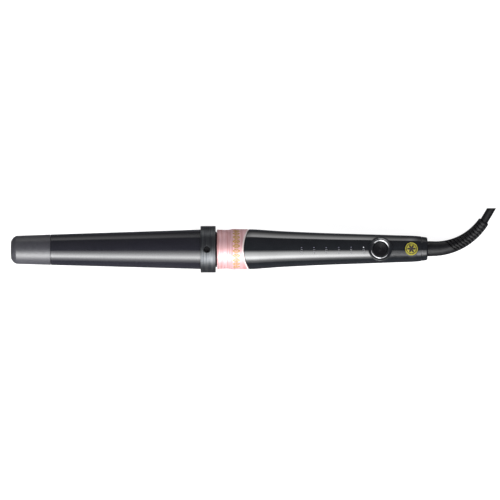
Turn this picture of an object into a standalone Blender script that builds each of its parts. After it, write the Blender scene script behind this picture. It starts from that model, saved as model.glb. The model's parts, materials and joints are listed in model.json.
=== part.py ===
"""Tapered hair-curling wand with a cool tip, a heated cone, a collar with a fold-out rest stand,
a metallic sleeve, a two-part handle with a push button, and a swivelling cord boot.

Everything is written in millimetres in the wand's own frame: +X along the axis from the collar towards
the cord, +Z out of the button, origin on the axis at the middle of the collar. The empty called wand
tilts that frame so that the object rests on its stand and on the tail of its handle.
"""

import math

import bmesh
import bpy
from mathutils import Matrix, Vector

MM = 0.001
GAP = 0.3  # clearance kept between separate pieces
STEPS = 36  # sides of the large turned pieces
SMALL_STEPS = 16  # sides of pins, screws and bosses

# Cool tip and heated barrel
TIP_X = -159.5
TIP_CHAMFER = 4.0
TIP_FACE_R = 7.3
TIP_SHOULDER_R = 11.4
BARREL_X0 = -127.2
BARREL_R0 = 12.35
BARREL_R1 = 16.0
BARREL_WALL = 1.1

# Collar, gap and sleeve
COLLAR_HALF = 6.1
COLLAR_R = 18.95
COLLAR_SCREW_X = -0.9
COLLAR_SCREW_BORE = 1.5
NECK_R = 14.2
SLEEVE_X0 = 7.2
SLEEVE_R = 16.0
SLEEVE_WAIST_R = 15.75
SLEEVE_CREST_X = 19.8
SLEEVE_CREST_R = 16.5
SLEEVE_BORE = 13.6

# Handle shells: front edge at the top, how far its sides lie behind that, and the wall
HANDLE_X0 = 28.9
SCALLOP = 4.2
HANDLE_WALL = 1.8
HANDLE_END = 172.8
SPIGOT_END = 38.2
SPIGOT_R = 14.1
HANDLE_PROFILE = (
    (28.9, 16.2),
    (37.0, 16.1),
    (44.0, 15.65),
    (58.0, 14.65),
    (74.0, 13.85),
    (92.0, 13.05),
    (112.0, 12.35),
    (131.0, 11.75),
    (151.0, 11.05),
    (170.0, 10.3),
    (172.8, 9.95),
)
SCREW_XS = (50.0, 100.5, 153.5)
SCREW_HEAD_R = 2.1
BOSS_R = 3.1

# Circuit board, lamps and button
BOARD_X0, BOARD_X1 = 60.0, 149.0
BOARD_Z = 1.4
BOARD_HALF = 7.2  # half of the board's width
BOARD_THICK = 1.2
BOARD_TOP = BOARD_Z + BOARD_THICK / 2
BOARD_UNDER = BOARD_Z - BOARD_THICK / 2
LAMP_X0 = 75.5
LAMP_PITCH = 10.0
LAMP_COUNT = 6
LAMP_Y = 1.2  # the row of lamps stands a little off the middle
LAMP_R = 0.5
BUTTON_X = 139.1
BUTTON_R = 6.1
BUTTON_TOP = 12.0
BEZEL_R = 7.7
SURROUND_R = 9.5
SURROUND_TOP = 12.1
SURROUND_BASE = 3.4
BADGE_X = 164.3
BADGE_R = 5.2
BADGE_Z0, BADGE_Z1 = 9.35, 10.4

# Tail, swivel, boot and cord
TAIL_X = 177.5
TAIL_R = 9.3
SWIVEL_X = 168.0
BOOT_R0, BOOT_R1 = 6.2, 4.45  # radius at the tail and at the cord
BOOT_LENGTH = 53.0
BEND_X = 182.8  # where the cord starts to bend
BEND_RADIUS = 47.6
BEND_ANGLE = math.radians(60.0)
BEND_LIFT = 7.0  # how far the bent end rises towards +Z
CORD_R = 3.2
CORD_END_Y = 32.6  # the cord is cut flat here
GROOVE_COUNT = 12
GROOVE_PITCH = 2.9
GROOVE_START = 18.0  # distance of the first groove from the tail
GROOVE_DEPTH = 0.5

# Rest stand: where its pin sits under the collar, and the leg from the pin to the table
PIN_Z = -23.6
PIN_R = 1.1
KNUCKLE_R = 2.2
LEG_THICK = 2.6
LEG_LENGTH = 21.0
LEG_LEAN = math.radians(35.0)
FOOT_HALF_WIDTH = 15.0
LEG_DROP = LEG_LENGTH * math.cos(LEG_LEAN)
LEG_REACH = LEG_LENGTH * math.sin(LEG_LEAN)
TAIL_EDGE_X = TAIL_X - 0.7  # where the tail's lower edge touches the table


def rest_tilt():
    """Tilt of the wand when the foot and the lower edge of the tail stand on one flat surface."""
    rise = -PIN_Z - TAIL_R
    return math.asin(LEG_DROP / math.hypot(TAIL_EDGE_X, rise)) + math.atan2(rise, TAIL_EDGE_X)


TILT = rest_tilt()


def barrel_radius(x):
    """Outer radius of the heated cone."""
    share = (x - BARREL_X0) / (-COLLAR_HALF - BARREL_X0)
    return BARREL_R0 + share * (BARREL_R1 - BARREL_R0)


def handle_radius(x):
    """Outer radius of the handle shells, between the points of the profile."""
    for (x0, r0), (x1, r1) in zip(HANDLE_PROFILE, HANDLE_PROFILE[1:]):
        if x <= x1:
            return r0 + (r1 - r0) * (x - x0) / (x1 - x0)
    return HANDLE_PROFILE[-1][1]


# ---------------------------------------------------------------- scene, materials and helpers


def clear_scene():
    for obj in list(bpy.data.objects):
        bpy.data.objects.remove(obj)


def make_material(name, colour, roughness, metallic=0.0):
    material = bpy.data.materials.new(name)
    material.use_nodes = True
    shader = material.node_tree.nodes["Principled BSDF"]
    shader.inputs["Base Color"].default_value = (*colour, 1.0)
    shader.inputs["Roughness"].default_value = roughness
    shader.inputs["Metallic"].default_value = metallic
    material.diffuse_color = (*colour, 1.0)
    return material


def make_empty(name, parent=None, at=(0, 0, 0), turn_y=0.0):
    empty = bpy.data.objects.new(name, None)
    bpy.context.scene.collection.objects.link(empty)
    empty.parent = parent
    empty.location = Vector(at) * MM
    empty.rotation_euler = (0, turn_y, 0)
    return empty


def make_object(name, points, faces, material, parent, origin=(0, 0, 0)):
    """Points are in the wand's frame; origin is where the parent empty stands in that frame."""
    mesh = bpy.data.meshes.new(name)
    mesh.from_pydata([(Vector(p) - Vector(origin)) * MM for p in points], [], faces)
    work = bmesh.new()
    work.from_mesh(mesh)
    bmesh.ops.recalc_face_normals(work, faces=work.faces)
    work.to_mesh(mesh)
    work.free()
    mesh.shade_smooth()
    mesh.set_sharp_from_angle(angle=math.radians(35))
    mesh.materials.append(material)
    obj = bpy.data.objects.new(name, mesh)
    bpy.context.scene.collection.objects.link(obj)
    obj.parent = parent
    return obj


def on_axis(axis, along, radius, angle, centre):
    """A point at this radius and angle round a line through centre along X, Y or Z."""
    a, b = radius * math.sin(angle), radius * math.cos(angle)
    offset = {"X": (along, a, b), "Y": (a, along, b), "Z": (b, a, along)}[axis]
    return [c + o for c, o in zip(centre, offset)]


def turned(
    name, profile, material, parent, axis="X", centre=(0, 0, 0), steps=STEPS, middle=None, origin=(0, 0, 0)
):
    """Solid of revolution. The profile holds (along, radius) or (along, radius, scallop share) points.

    It closes on itself, or it starts and ends on the axis with radius 0. With middle it's half a turn
    about that angle, and two such halves stand a gap apart.
    """
    half_turn = middle is not None
    points, rings = [], []
    for along, radius, *share in profile:
        weight = SCALLOP * share[0] if share else 0.0
        if half_turn:
            quarter = math.pi / 2 - math.asin(GAP / 2 / radius)
            spots = [middle + quarter * (2 * i / steps - 1) for i in range(steps + 1)]
        else:
            spots = [math.tau * (i + 0.5) / steps for i in range(steps if radius > 0 else 1)]
        rings.append(range(len(points), len(points) + len(spots)))
        points += [on_axis(axis, along + weight * math.sin(a) ** 2, radius, a, centre) for a in spots]
    solid = profile[0][1] == 0
    pairs = list(zip(rings, rings[1:])) + ([] if solid else [(rings[-1], rings[0])])
    faces = []
    for low, high in pairs:
        for i in range(steps):
            j = i + 1 if half_turn else (i + 1) % steps
            quad = [low[i % len(low)], low[j % len(low)], high[j % len(high)], high[i % len(high)]]
            faces.append(list(dict.fromkeys(quad)))
    if half_turn:
        faces += [[ring[0] for ring in rings], [ring[-1] for ring in reversed(rings)]]
    return make_object(name, points, faces, material, parent, origin)


def rod(name, axis, start, end, radius, centre, material, parent, steps=SMALL_STEPS, origin=(0, 0, 0)):
    profile = [(start, 0), (start, radius), (end, radius), (end, 0)]
    return turned(name, profile, material, parent, axis, centre, steps, origin=origin)


def block(name, low, high, material, parent, bevel=0.0):
    corners = [(x, y, z) for x in (low[0], high[0]) for y in (low[1], high[1]) for z in (low[2], high[2])]
    faces = [(0, 1, 3, 2), (4, 6, 7, 5), (0, 4, 5, 1), (2, 3, 7, 6), (0, 2, 6, 4), (1, 5, 7, 3)]
    obj = make_object(name, corners, faces, material, parent)
    if bevel:
        modifier = obj.modifiers.new("edges", "BEVEL")
        modifier.width = bevel * MM
        modifier.segments = 1
    return obj


def prism_faces(count):
    """Faces of a solid whose points are one closed section of this many points, then a second one."""
    sides = [(i, (i + 1) % count, count + (i + 1) % count, count + i) for i in range(count)]
    return sides + [tuple(range(count)), tuple(reversed(range(count, 2 * count)))]


def prism(name, outline, low, high, material, parent):
    """An outline drawn in the XZ plane and extruded along Y."""
    points = [(x, y, z) for y in (low, high) for x, z in outline]
    return make_object(name, points, prism_faces(len(outline)), material, parent)


def helper(obj):
    """Marks an object that only cuts or adds to another, so that it isn't a piece itself."""
    obj.hide_render = True
    obj.display_type = "WIRE"
    return obj


def combine(target, other, operation):
    modifier = target.modifiers.new(other.name, "BOOLEAN")
    modifier.operation = operation
    modifier.object = helper(other)
    return target


def drill(target, axis, start, end, radius, centre, parent, steps=SMALL_STEPS):
    name = f"{target.name}_hole_{len(target.modifiers)}"
    cutter = rod(name, axis, start, end, radius, centre, target.data.materials[0], parent, steps)
    return combine(target, cutter, "DIFFERENCE")


def frames_along(path):
    """A pair of crossways directions at each point of a path, turning as little as they can."""
    frames, side = [], None
    for i, point in enumerate(path):
        ahead = (path[min(i + 1, len(path) - 1)] - path[max(i - 1, 0)]).normalized()
        side = side or (Vector((0, 0, 1)) if abs(ahead.z) < 0.9 else Vector((1, 0, 0)))
        side = (side - ahead * side.dot(ahead)).normalized()
        frames.append((ahead, side, ahead.cross(side)))
    return frames


def swept(
    name, path, radii, material, parent, bore=None, steps=SMALL_STEPS, end_y=None, origin=(0, 0, 0)
):
    """A round rod along a path, or a tube if bore gives its inner radius. end_y slants the last end flat."""
    path = [Vector(p) for p in path]
    frames = frames_along(path)

    def ring(i, radius):
        ahead, side, up = frames[i]
        spots = []
        for k in range(steps):
            a = math.tau * k / steps
            spot = path[i] + side * radius * math.cos(a) + up * radius * math.sin(a)
            if end_y is not None and i == len(path) - 1:
                spot += ahead * (end_y - spot.y) / ahead.y
            spots.append(spot)
        return spots

    rings = [ring(i, radii[i]) for i in range(len(path))]
    if bore:
        stations = sorted({*range(0, len(path), 4), len(path) - 1}, reverse=True)
        rings += [ring(i, bore) for i in stations]
    points = [p for r in rings for p in r]
    links = [(i, i + 1) for i in range(len(rings) - 1)] + ([(len(rings) - 1, 0)] if bore else [])
    faces = []
    for a, b in links:
        for k in range(steps):
            n = (k + 1) % steps
            faces.append((a * steps + k, a * steps + n, b * steps + n, b * steps + k))
    if not bore:
        faces += [tuple(range(steps)), tuple(range((len(rings) - 1) * steps, len(rings) * steps))]
    return make_object(name, points, faces, material, parent, origin)


# ---------------------------------------------------------------- materials

clear_scene()

MATERIALS = {
    "tip_nylon": make_material("tip_nylon", (0.075, 0.075, 0.085), 0.45),
    "barrel_gloss": make_material("barrel_gloss", (0.012, 0.012, 0.016), 0.18, 0.4),
    "collar_dark": make_material("collar_dark", (0.06, 0.065, 0.07), 0.42, 0.6),
    "rose_gold": make_material("rose_gold", (0.86, 0.56, 0.54), 0.3, 0.9),
    "handle_gloss": make_material("handle_gloss", (0.010, 0.011, 0.014), 0.12),
    "chrome": make_material("chrome", (0.85, 0.85, 0.86), 0.08, 1.0),
    "badge_gold": make_material("badge_gold", (0.72, 0.66, 0.25), 0.3, 0.8),
    "boot_rubber": make_material("boot_rubber", (0.018, 0.018, 0.02), 0.55),
    "aluminium": make_material("aluminium", (0.75, 0.75, 0.77), 0.35, 0.9),
    "ceramic": make_material("ceramic", (0.82, 0.80, 0.74), 0.6),
    "steel": make_material("steel", (0.6, 0.6, 0.62), 0.35, 0.9),
    "black_steel": make_material("black_steel", (0.03, 0.03, 0.032), 0.4, 0.8),
    "brass": make_material("brass", (0.78, 0.62, 0.28), 0.3, 0.9),
    "board_green": make_material("board_green", (0.03, 0.16, 0.07), 0.5),
    "chip_black": make_material("chip_black", (0.02, 0.02, 0.02), 0.5),
    "lamp_clear": make_material("lamp_clear", (0.6, 0.6, 0.63), 0.2),
    "wire_red": make_material("wire_red", (0.5, 0.04, 0.03), 0.5),
    "wire_blue": make_material("wire_blue", (0.04, 0.08, 0.4), 0.5),
    "base_resin": make_material("base_resin", (0.035, 0.035, 0.035), 0.6),
}

# The wand's frame in the world: the middle of the foot's underside is the world's origin.
PIN_WORLD = Vector((LEG_REACH, 0, LEG_DROP))
PIN_OFFSET = Vector((PIN_Z * math.sin(TILT), 0, PIN_Z * math.cos(TILT)))
WAND = make_empty("wand", at=PIN_WORLD - PIN_OFFSET, turn_y=TILT)
BUTTON_AT = (BUTTON_X, 0, 0)
SWIVEL_AT = (SWIVEL_X, 0, 0)
PIN_AT = (0, 0, PIN_Z)
BUTTON_JOINT = make_empty("button_joint", WAND, BUTTON_AT)
SWIVEL_JOINT = make_empty("swivel_joint", WAND, SWIVEL_AT)
STAND_JOINT = make_empty("stand_joint", WAND, PIN_AT, turn_y=-TILT)


# ---------------------------------------------------------------- barrel head


def make_tip():
    spigot = barrel_radius(BARREL_X0) - BARREL_WALL - GAP
    cap = [
        (TIP_X, 0),
        (TIP_X, TIP_FACE_R),
        (TIP_X + 0.4 * TIP_CHAMFER, TIP_FACE_R + 0.6 * (TIP_SHOULDER_R - TIP_FACE_R)),
        (TIP_X + TIP_CHAMFER, TIP_SHOULDER_R),
        (BARREL_X0 - GAP, BARREL_R0 - 0.05),
        (BARREL_X0 - GAP, spigot),
        (-119.0, spigot),
        (-119.0, spigot - 1.6),
        (-153.0, 7.6),
        (-155.5, 6.0),
        (-155.5, 2.6),
        (-124.0, 2.6),
        (-124.0, 1.3),
        (-140.0, 1.3),
        (-140.0, 0),
    ]
    turned("cool_tip", cap, MATERIALS["tip_nylon"], WAND)
    disc = [(-118.6, 1.8), (-118.6, 10.9), (-117.6, 10.9), (-117.6, 1.8)]
    turned("tip_disc", disc, MATERIALS["ceramic"], WAND, steps=24)
    screw = [(-138.0, 0), (-138.0, 1.0), (-117.3, 1.0), (-117.3, 2.6), (-115.8, 2.2), (-115.8, 0)]
    turned("tip_screw", screw, MATERIALS["steel"], WAND, steps=SMALL_STEPS)


def make_barrel():
    outer = [
        (BARREL_X0, BARREL_R0 - 0.25),
        (BARREL_X0 + 0.3, BARREL_R0),
        (-COLLAR_HALF, BARREL_R1),
        (1.5, BARREL_R1),
    ]
    inner = [(x, r - BARREL_WALL) for x, r in reversed(outer[1:])]
    closing = [(BARREL_X0, BARREL_R0 - BARREL_WALL)]
    turned("barrel", outer + inner + closing, MATERIALS["barrel_gloss"], WAND)


def shoe_section(radius, sign):
    """Arc, web and pressing plate of a heat spreader, as a YZ outline."""
    span, arc_steps, skin = math.radians(60), 8, 0.9
    web, plate_half, plate_top, plate_low = 1.0, 5.8, 2.8, 1.8
    angles = [-span + 2 * span * i / arc_steps for i in range(arc_steps + 1)]
    outline = [(radius * math.sin(a), radius * math.cos(a)) for a in angles]
    inside = radius - skin
    back = [(inside * math.sin(a), inside * math.cos(a)) for a in reversed(angles)]
    half = len(back) // 2
    crown = math.sqrt(inside**2 - web**2)
    foot = [
        (web, crown),
        (web, plate_top),
        (plate_half, plate_top),
        (plate_half, plate_low),
        (-plate_half, plate_low),
        (-plate_half, plate_top),
        (-web, plate_top),
        (-web, crown),
    ]
    outline += back[:half] + foot + back[half + 1 :]
    return [(y, z * sign) for y, z in outline]


def make_spreader(name, sign):
    x0, x1 = -110.0, -24.0
    points = []
    for x in (x0, x1):
        section = shoe_section(barrel_radius(x) - BARREL_WALL - GAP, sign)
        points += [(x, y, z) for y, z in section]
    make_object(name, points, prism_faces(len(points) // 2), MATERIALS["aluminium"], WAND)


def make_heater():
    block("heater_element", (-106, -5.5, -1.5), (-28, 5.5, 1.5), MATERIALS["ceramic"], WAND, bevel=0.3)
    make_spreader("heat_spreader_upper", 1)
    make_spreader("heat_spreader_lower", -1)
    rod("thermistor", "X", -62, -56, 1.1, (0, 4.2, 4.4), MATERIALS["ceramic"], WAND, steps=10)
    rod("thermal_fuse", "X", -22.5, -14, 2.0, (0, 0, 5.5), MATERIALS["steel"], WAND, steps=12)
    leads = (("heater_lead_live", 1, "wire_red"), ("heater_lead_neutral", -1, "wire_blue"))
    for name, side, material in leads:
        path = [(-27.4, 3.2 * side, 0), (-18, 3.2 * side, 0), (-8, 2.0 * side, 0), (30, 2.0 * side, 0)]
        path += [(44, 4.6 * side, 0), (56, 4.6 * side, 1.0), (59.5, 4.6 * side, BOARD_TOP)]
        swept(name, path, [0.7] * len(path), MATERIALS[material], WAND, steps=8)


def make_base():
    """Resin plug that joins the barrel to the handle, with a channel for the leads."""
    plug = BARREL_R1 - BARREL_WALL - GAP - 0.15
    profile = [
        (-12.0, 4.2),
        (-12.0, plug - 1.0),
        (-11.0, plug - 0.3),
        (1.8, plug),
        (1.8, 16.1),
        (4.2, 16.1),
        (4.2, NECK_R),
        (SLEEVE_X0 - GAP, NECK_R),
        (SLEEVE_X0 - GAP, SLEEVE_BORE - GAP),
        (24.0, SLEEVE_BORE - GAP),
        (24.0, 11.6),
        (6.0, 10.2),
        (-9.0, 10.2),
        (-9.0, 4.2),
    ]
    turned("barrel_base", profile, MATERIALS["base_resin"], WAND, steps=28)


def make_collar():
    edge = 0.5
    profile = [
        (-COLLAR_HALF, 16.35),
        (-COLLAR_HALF, COLLAR_R - edge),
        (-COLLAR_HALF + edge, COLLAR_R),
        (COLLAR_HALF - edge, COLLAR_R),
        (COLLAR_HALF, COLLAR_R - edge),
        (COLLAR_HALF, 14.6),
        (4.6, 14.6),
        (4.6, 16.45),
    ]
    collar = turned("collar", profile, MATERIALS["collar_dark"], WAND)
    centre = (COLLAR_SCREW_X, 0, 0)
    drill(collar, "Z", 17.4, 20, 2.7, centre, WAND)
    for piece in (collar, bpy.data.objects["barrel"]):
        drill(piece, "Z", -20, 20, COLLAR_SCREW_BORE, centre, WAND)
    head = [(15.2, 0), (15.2, 1.1), (17.7, 1.1), (17.7, 2.4), (18.7, 2.4), (18.9, 2.1), (18.9, 0)]
    screw = turned("collar_screw", head, MATERIALS["black_steel"], WAND, "Z", centre, SMALL_STEPS)
    drill(screw, "Z", 18.0, 20, 1.2, centre, WAND, steps=6)


def make_sleeve():
    profile = [
        (SLEEVE_X0, SLEEVE_BORE),
        (SLEEVE_X0, SLEEVE_R - 0.3),
        (SLEEVE_X0 + 0.3, SLEEVE_R),
        (11.5, SLEEVE_R - 0.15),
        (14.5, SLEEVE_WAIST_R),
        (17.0, SLEEVE_WAIST_R + 0.15),
        (SLEEVE_CREST_X - 0.7, SLEEVE_CREST_R - 0.2),
        (SLEEVE_CREST_X, SLEEVE_CREST_R),
        (SLEEVE_CREST_X + 0.8, SLEEVE_CREST_R),
        (HANDLE_X0 - 0.9, 16.25, 1.0),
        (HANDLE_X0 - 0.35, 16.0, 1.0),
        (HANDLE_X0 - 0.35, SPIGOT_R, 1.0),
        (SPIGOT_END, SPIGOT_R),
        (SPIGOT_END, SLEEVE_BORE),
    ]
    turned("sleeve", profile, MATERIALS["rose_gold"], WAND)


# ---------------------------------------------------------------- handle


def shell_profile():
    """Closed outline of the handle wall: outside from front to tail, then inside back again."""
    edge = 0.35
    outside = [(HANDLE_X0, HANDLE_PROFILE[0][1] - edge, 1.0), (HANDLE_X0 + edge, HANDLE_PROFILE[0][1], 1.0)]
    outside += [(x, r) for x, r in HANDLE_PROFILE[1:]]
    inside = [(x, r - HANDLE_WALL) for x, r in reversed(HANDLE_PROFILE[2:-2])]
    collar_rib = [(165.9, 8.15), (165.9, 5.6), (164.4, 5.6), (164.4, 8.7)]
    socket = [
        (SPIGOT_END + 1.2, SPIGOT_R - 0.1),
        (SPIGOT_END + GAP, SPIGOT_R + GAP),
        (HANDLE_X0, SPIGOT_R + GAP, 1.0),
    ]
    return outside + [(HANDLE_END, 8.15)] + collar_rib + inside + socket


def make_shells():
    gloss = MATERIALS["handle_gloss"]
    upper = turned("handle_upper", shell_profile(), gloss, WAND, steps=20, middle=0.0)
    lower = turned("handle_lower", shell_profile(), gloss, WAND, steps=20, middle=math.pi)
    for i, x in enumerate(SCREW_XS):
        top = handle_radius(x) - 0.9
        head = -top + 1.1
        centre = (x, 0, 0)
        combine(upper, rod(f"upper_boss_{i}", "Z", 0.2, top, BOSS_R, centre, gloss, WAND), "UNION")
        combine(lower, rod(f"lower_boss_{i}", "Z", -top, -0.2, BOSS_R, centre, gloss, WAND), "UNION")
        drill(upper, "Z", -1, 7.2, 1.1, centre, WAND, steps=8)
        drill(lower, "Z", -20, 1, 1.5, centre, WAND, steps=12)
        drill(lower, "Z", -20, head + GAP, SCREW_HEAD_R + GAP, centre, WAND)
        make_shell_screw(i + 1, x, head)
    drill(upper, "Z", SURROUND_BASE - GAP, 20, SURROUND_R + GAP, BUTTON_AT, WAND, steps=32)
    drill(upper, "Z", BADGE_Z0 - GAP, 20, BADGE_R + GAP, (BADGE_X, 0, 0), WAND, steps=32)
    for x in lamp_positions():
        drill(upper, "Z", 6, 20, LAMP_R + GAP, (x, LAMP_Y, 0), WAND, steps=8)


def make_shell_screw(number, x, head):
    """Screw that pulls the shells together, with a cross slot. head is the height of its head's seat."""
    profile = [
        (6.6, 0),
        (6.6, 0.6),
        (head, 0.7),
        (head, SCREW_HEAD_R),
        (head - 1.3, SCREW_HEAD_R),
        (head - 1.6, SCREW_HEAD_R - 0.4),
        (head - 1.6, 0),
    ]
    screw = turned(f"shell_screw_{number}", profile, MATERIALS["black_steel"], WAND, "Z", (x, 0, 0), 12)
    for half_x, half_y in ((0.3, 1.3), (1.3, 0.3)):
        low, high = (x - half_x, -half_y, head - 3), (x + half_x, half_y, head - 0.9)
        name = f"screw_slot_{number}_{len(screw.modifiers)}"
        combine(screw, block(name, low, high, MATERIALS["steel"], WAND), "DIFFERENCE")


def lamp_positions():
    return [LAMP_X0 + LAMP_PITCH * i for i in range(LAMP_COUNT)]


def make_badge():
    rim, dish = BADGE_R - 0.9, 0.35
    profile = [
        (BADGE_Z0, 0),
        (BADGE_Z0, BADGE_R),
        (BADGE_Z1 - 0.2, BADGE_R),
        (BADGE_Z1, BADGE_R - 0.25),
        (BADGE_Z1, rim),
        (BADGE_Z1 - dish, rim - 0.2),
        (BADGE_Z1 - dish, 0),
    ]
    turned("badge", profile, MATERIALS["badge_gold"], WAND, "Z", (BADGE_X, 0, 0), 32)


def make_board():
    corner, opposite = (BOARD_X0, -BOARD_HALF, BOARD_UNDER), (BOARD_X1, BOARD_HALF, BOARD_TOP)
    board = block("circuit_board", corner, opposite, MATERIALS["board_green"], WAND)
    drill(board, "Z", BOARD_UNDER - 1, BOARD_TOP + 1, BOSS_R + 0.4, (SCREW_XS[1], 0, 0), WAND)
    top, under = BOARD_TOP + GAP, BOARD_UNDER - GAP
    chip, ceramic = MATERIALS["chip_black"], MATERIALS["ceramic"]
    block("controller_chip", (110, -5.5, under - 1.4), (119, 3.5, under), chip, WAND, bevel=0.2)
    block("triac", (66, -5, under - 3.2), (76, 5, under), chip, WAND, bevel=0.3)
    block("relay_fuse", (80, -4.5, under - 4.0), (92, 0.5, under), ceramic, WAND, bevel=0.5)
    rod("capacitor", "X", 124, 136, 3.4, (0, 0, under - 3.5), MATERIALS["steel"], WAND)
    block("terminal_block", (140.5, -6, under - 5.5), (147.5, 6, under), ceramic, WAND, bevel=0.4)
    for i, x in enumerate(lamp_positions(), start=1):
        block(f"lamp_chip_{i}", (x - 0.8, LAMP_Y - 0.8, top), (x + 0.8, LAMP_Y + 0.8, top + 0.9), chip, WAND)
        crown = math.sqrt(handle_radius(x) ** 2 - (LAMP_Y + LAMP_R) ** 2)
        shoulder = 7.8 if crown - HANDLE_WALL < 9.0 else 8.6  # lower where the shell is slimmer
        pipe = [
            (top + 1.2, 0),
            (top + 1.2, 0.75),
            (shoulder, 0.75),
            (shoulder, LAMP_R),
            (crown + 0.05, LAMP_R),
            (crown + 0.1, 0),
        ]
        turned(f"lamp_lens_{i}", pipe, MATERIALS["lamp_clear"], WAND, "Z", (x, LAMP_Y, 0), 8)


# ---------------------------------------------------------------- button


def make_button():
    surround = [
        (SURROUND_BASE, BEZEL_R + GAP),
        (SURROUND_BASE, SURROUND_R),
        (SURROUND_TOP - 0.9, SURROUND_R),
        (SURROUND_TOP - 0.25, SURROUND_R - 0.3),
        (SURROUND_TOP, SURROUND_R - 0.9),
        (SURROUND_TOP - 0.3, BEZEL_R + GAP),
    ]
    turned("button_surround", surround, MATERIALS["handle_gloss"], WAND, "Z", BUTTON_AT, 32)
    bezel = [
        (8.0, BUTTON_R + GAP),
        (8.0, BEZEL_R),
        (SURROUND_TOP - 0.3, BEZEL_R),
        (SURROUND_TOP + 0.2, BEZEL_R - 0.35),
        (SURROUND_TOP + 0.2, BUTTON_R + 0.75),
        (SURROUND_TOP - 0.2, BUTTON_R + GAP),
    ]
    turned("button_bezel", bezel, MATERIALS["chrome"], WAND, "Z", BUTTON_AT, 32)
    switch_base, switch_top = BOARD_TOP + GAP, BOARD_TOP + 3.9
    body = [
        (switch_base, 0),
        (switch_base, 3.4),
        (switch_top, 3.4),
        (switch_top, 1.9),
        (switch_base + 1.2, 1.9),
        (switch_base + 1.2, 0),
    ]
    turned("switch_body", body, MATERIALS["chip_black"], WAND, "Z", BUTTON_AT, SMALL_STEPS)
    stem_end = switch_top + 1.5
    rod(
        "switch_plunger", "Z", switch_base + 2.4, stem_end - GAP, 1.5, BUTTON_AT,
        MATERIALS["lamp_clear"], BUTTON_JOINT, origin=BUTTON_AT,
    )
    cap = [
        (stem_end, 0),
        (stem_end, 1.7),
        (BUTTON_TOP - 1.6, 1.7),
        (BUTTON_TOP - 1.6, 5.0),
        (BUTTON_TOP - 3.0, 5.0),
        (BUTTON_TOP - 3.0, BUTTON_R),
        (BUTTON_TOP - 0.3, BUTTON_R),
        (BUTTON_TOP, BUTTON_R - 0.35),
        (BUTTON_TOP - 0.35, 2.5),
        (BUTTON_TOP - 0.4, 0),
    ]
    turned("button_cap", cap, MATERIALS["boot_rubber"], BUTTON_JOINT, "Z", BUTTON_AT, 32, origin=BUTTON_AT)
    make_spring(switch_top + 0.6, BUTTON_TOP - 2.2)


def make_spring(low, high):
    """Coil spring under the button cap, round the plunger."""
    turns, per_turn, coil_radius, wire_radius = 3, 12, 2.6, 0.25
    count = turns * per_turn
    path = []
    for i in range(count + 1):
        a = math.tau * i / per_turn
        height = low + (high - low) * i / count
        path.append((BUTTON_X + coil_radius * math.cos(a), coil_radius * math.sin(a), height))
    swept("button_spring", path, [wire_radius] * len(path), MATERIALS["steel"], WAND, steps=6)


# ---------------------------------------------------------------- tail, swivel, boot and cord


def cord_path():
    """Centre line from inside the tail to the cut end: straight, a bend, then straight again."""
    path = [Vector((x, 0, 0)) for x in (158.0, 164.0, SWIVEL_X + 1.0, TAIL_X, 180.2)]
    bend_steps = 24
    arc_length = BEND_RADIUS * BEND_ANGLE
    for i in range(bend_steps + 1):
        share = i / bend_steps
        a = BEND_ANGLE * share
        lift = BEND_LIFT * share**2
        path.append(Vector((BEND_X + BEND_RADIUS * math.sin(a), BEND_RADIUS * (1 - math.cos(a)), lift)))
    slope = 2 * BEND_LIFT / arc_length
    ahead = Vector((math.cos(BEND_ANGLE), math.sin(BEND_ANGLE), slope))
    run = (CORD_END_Y - path[-1].y) / ahead.y
    return path + [path[-1] + ahead * run * share for share in (0.2, 0.6, 1.0)]


def at_distance(path, distance):
    """The point this far along a path."""
    for a, b in zip(path, path[1:]):
        span = (b - a).length
        if distance <= span:
            return a.lerp(b, distance / span)
        distance -= span
    return path[-1].copy()


def make_boot():
    """Ribbed rubber boot, measured along the cord from the face of the tail."""
    line = cord_path()[3:]
    stops = [(share * GROOVE_START / 6, 0.0) for share in range(6)]
    for i in range(GROOVE_COUNT):
        start = GROOVE_START + i * GROOVE_PITCH
        floor = [(start + 0.35, GROOVE_DEPTH), (start + 1.15, GROOVE_DEPTH)]
        stops += [(start, 0.0), *floor, (start + 1.5, 0.0)]
    stops += [(BOOT_LENGTH - 0.6, 0.0), (BOOT_LENGTH, 0.5)]
    points = [Vector((SWIVEL_X + 0.5, 0, 0))] + [at_distance(line, s) for s, _ in stops]
    radii = [BOOT_R0] + [BOOT_R0 + (BOOT_R1 - BOOT_R0) * s / BOOT_LENGTH - depth for s, depth in stops]
    swept(
        "cord_boot", points, radii, MATERIALS["boot_rubber"], SWIVEL_JOINT,
        bore=CORD_R + GAP + 0.15, origin=SWIVEL_AT,
    )


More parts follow.
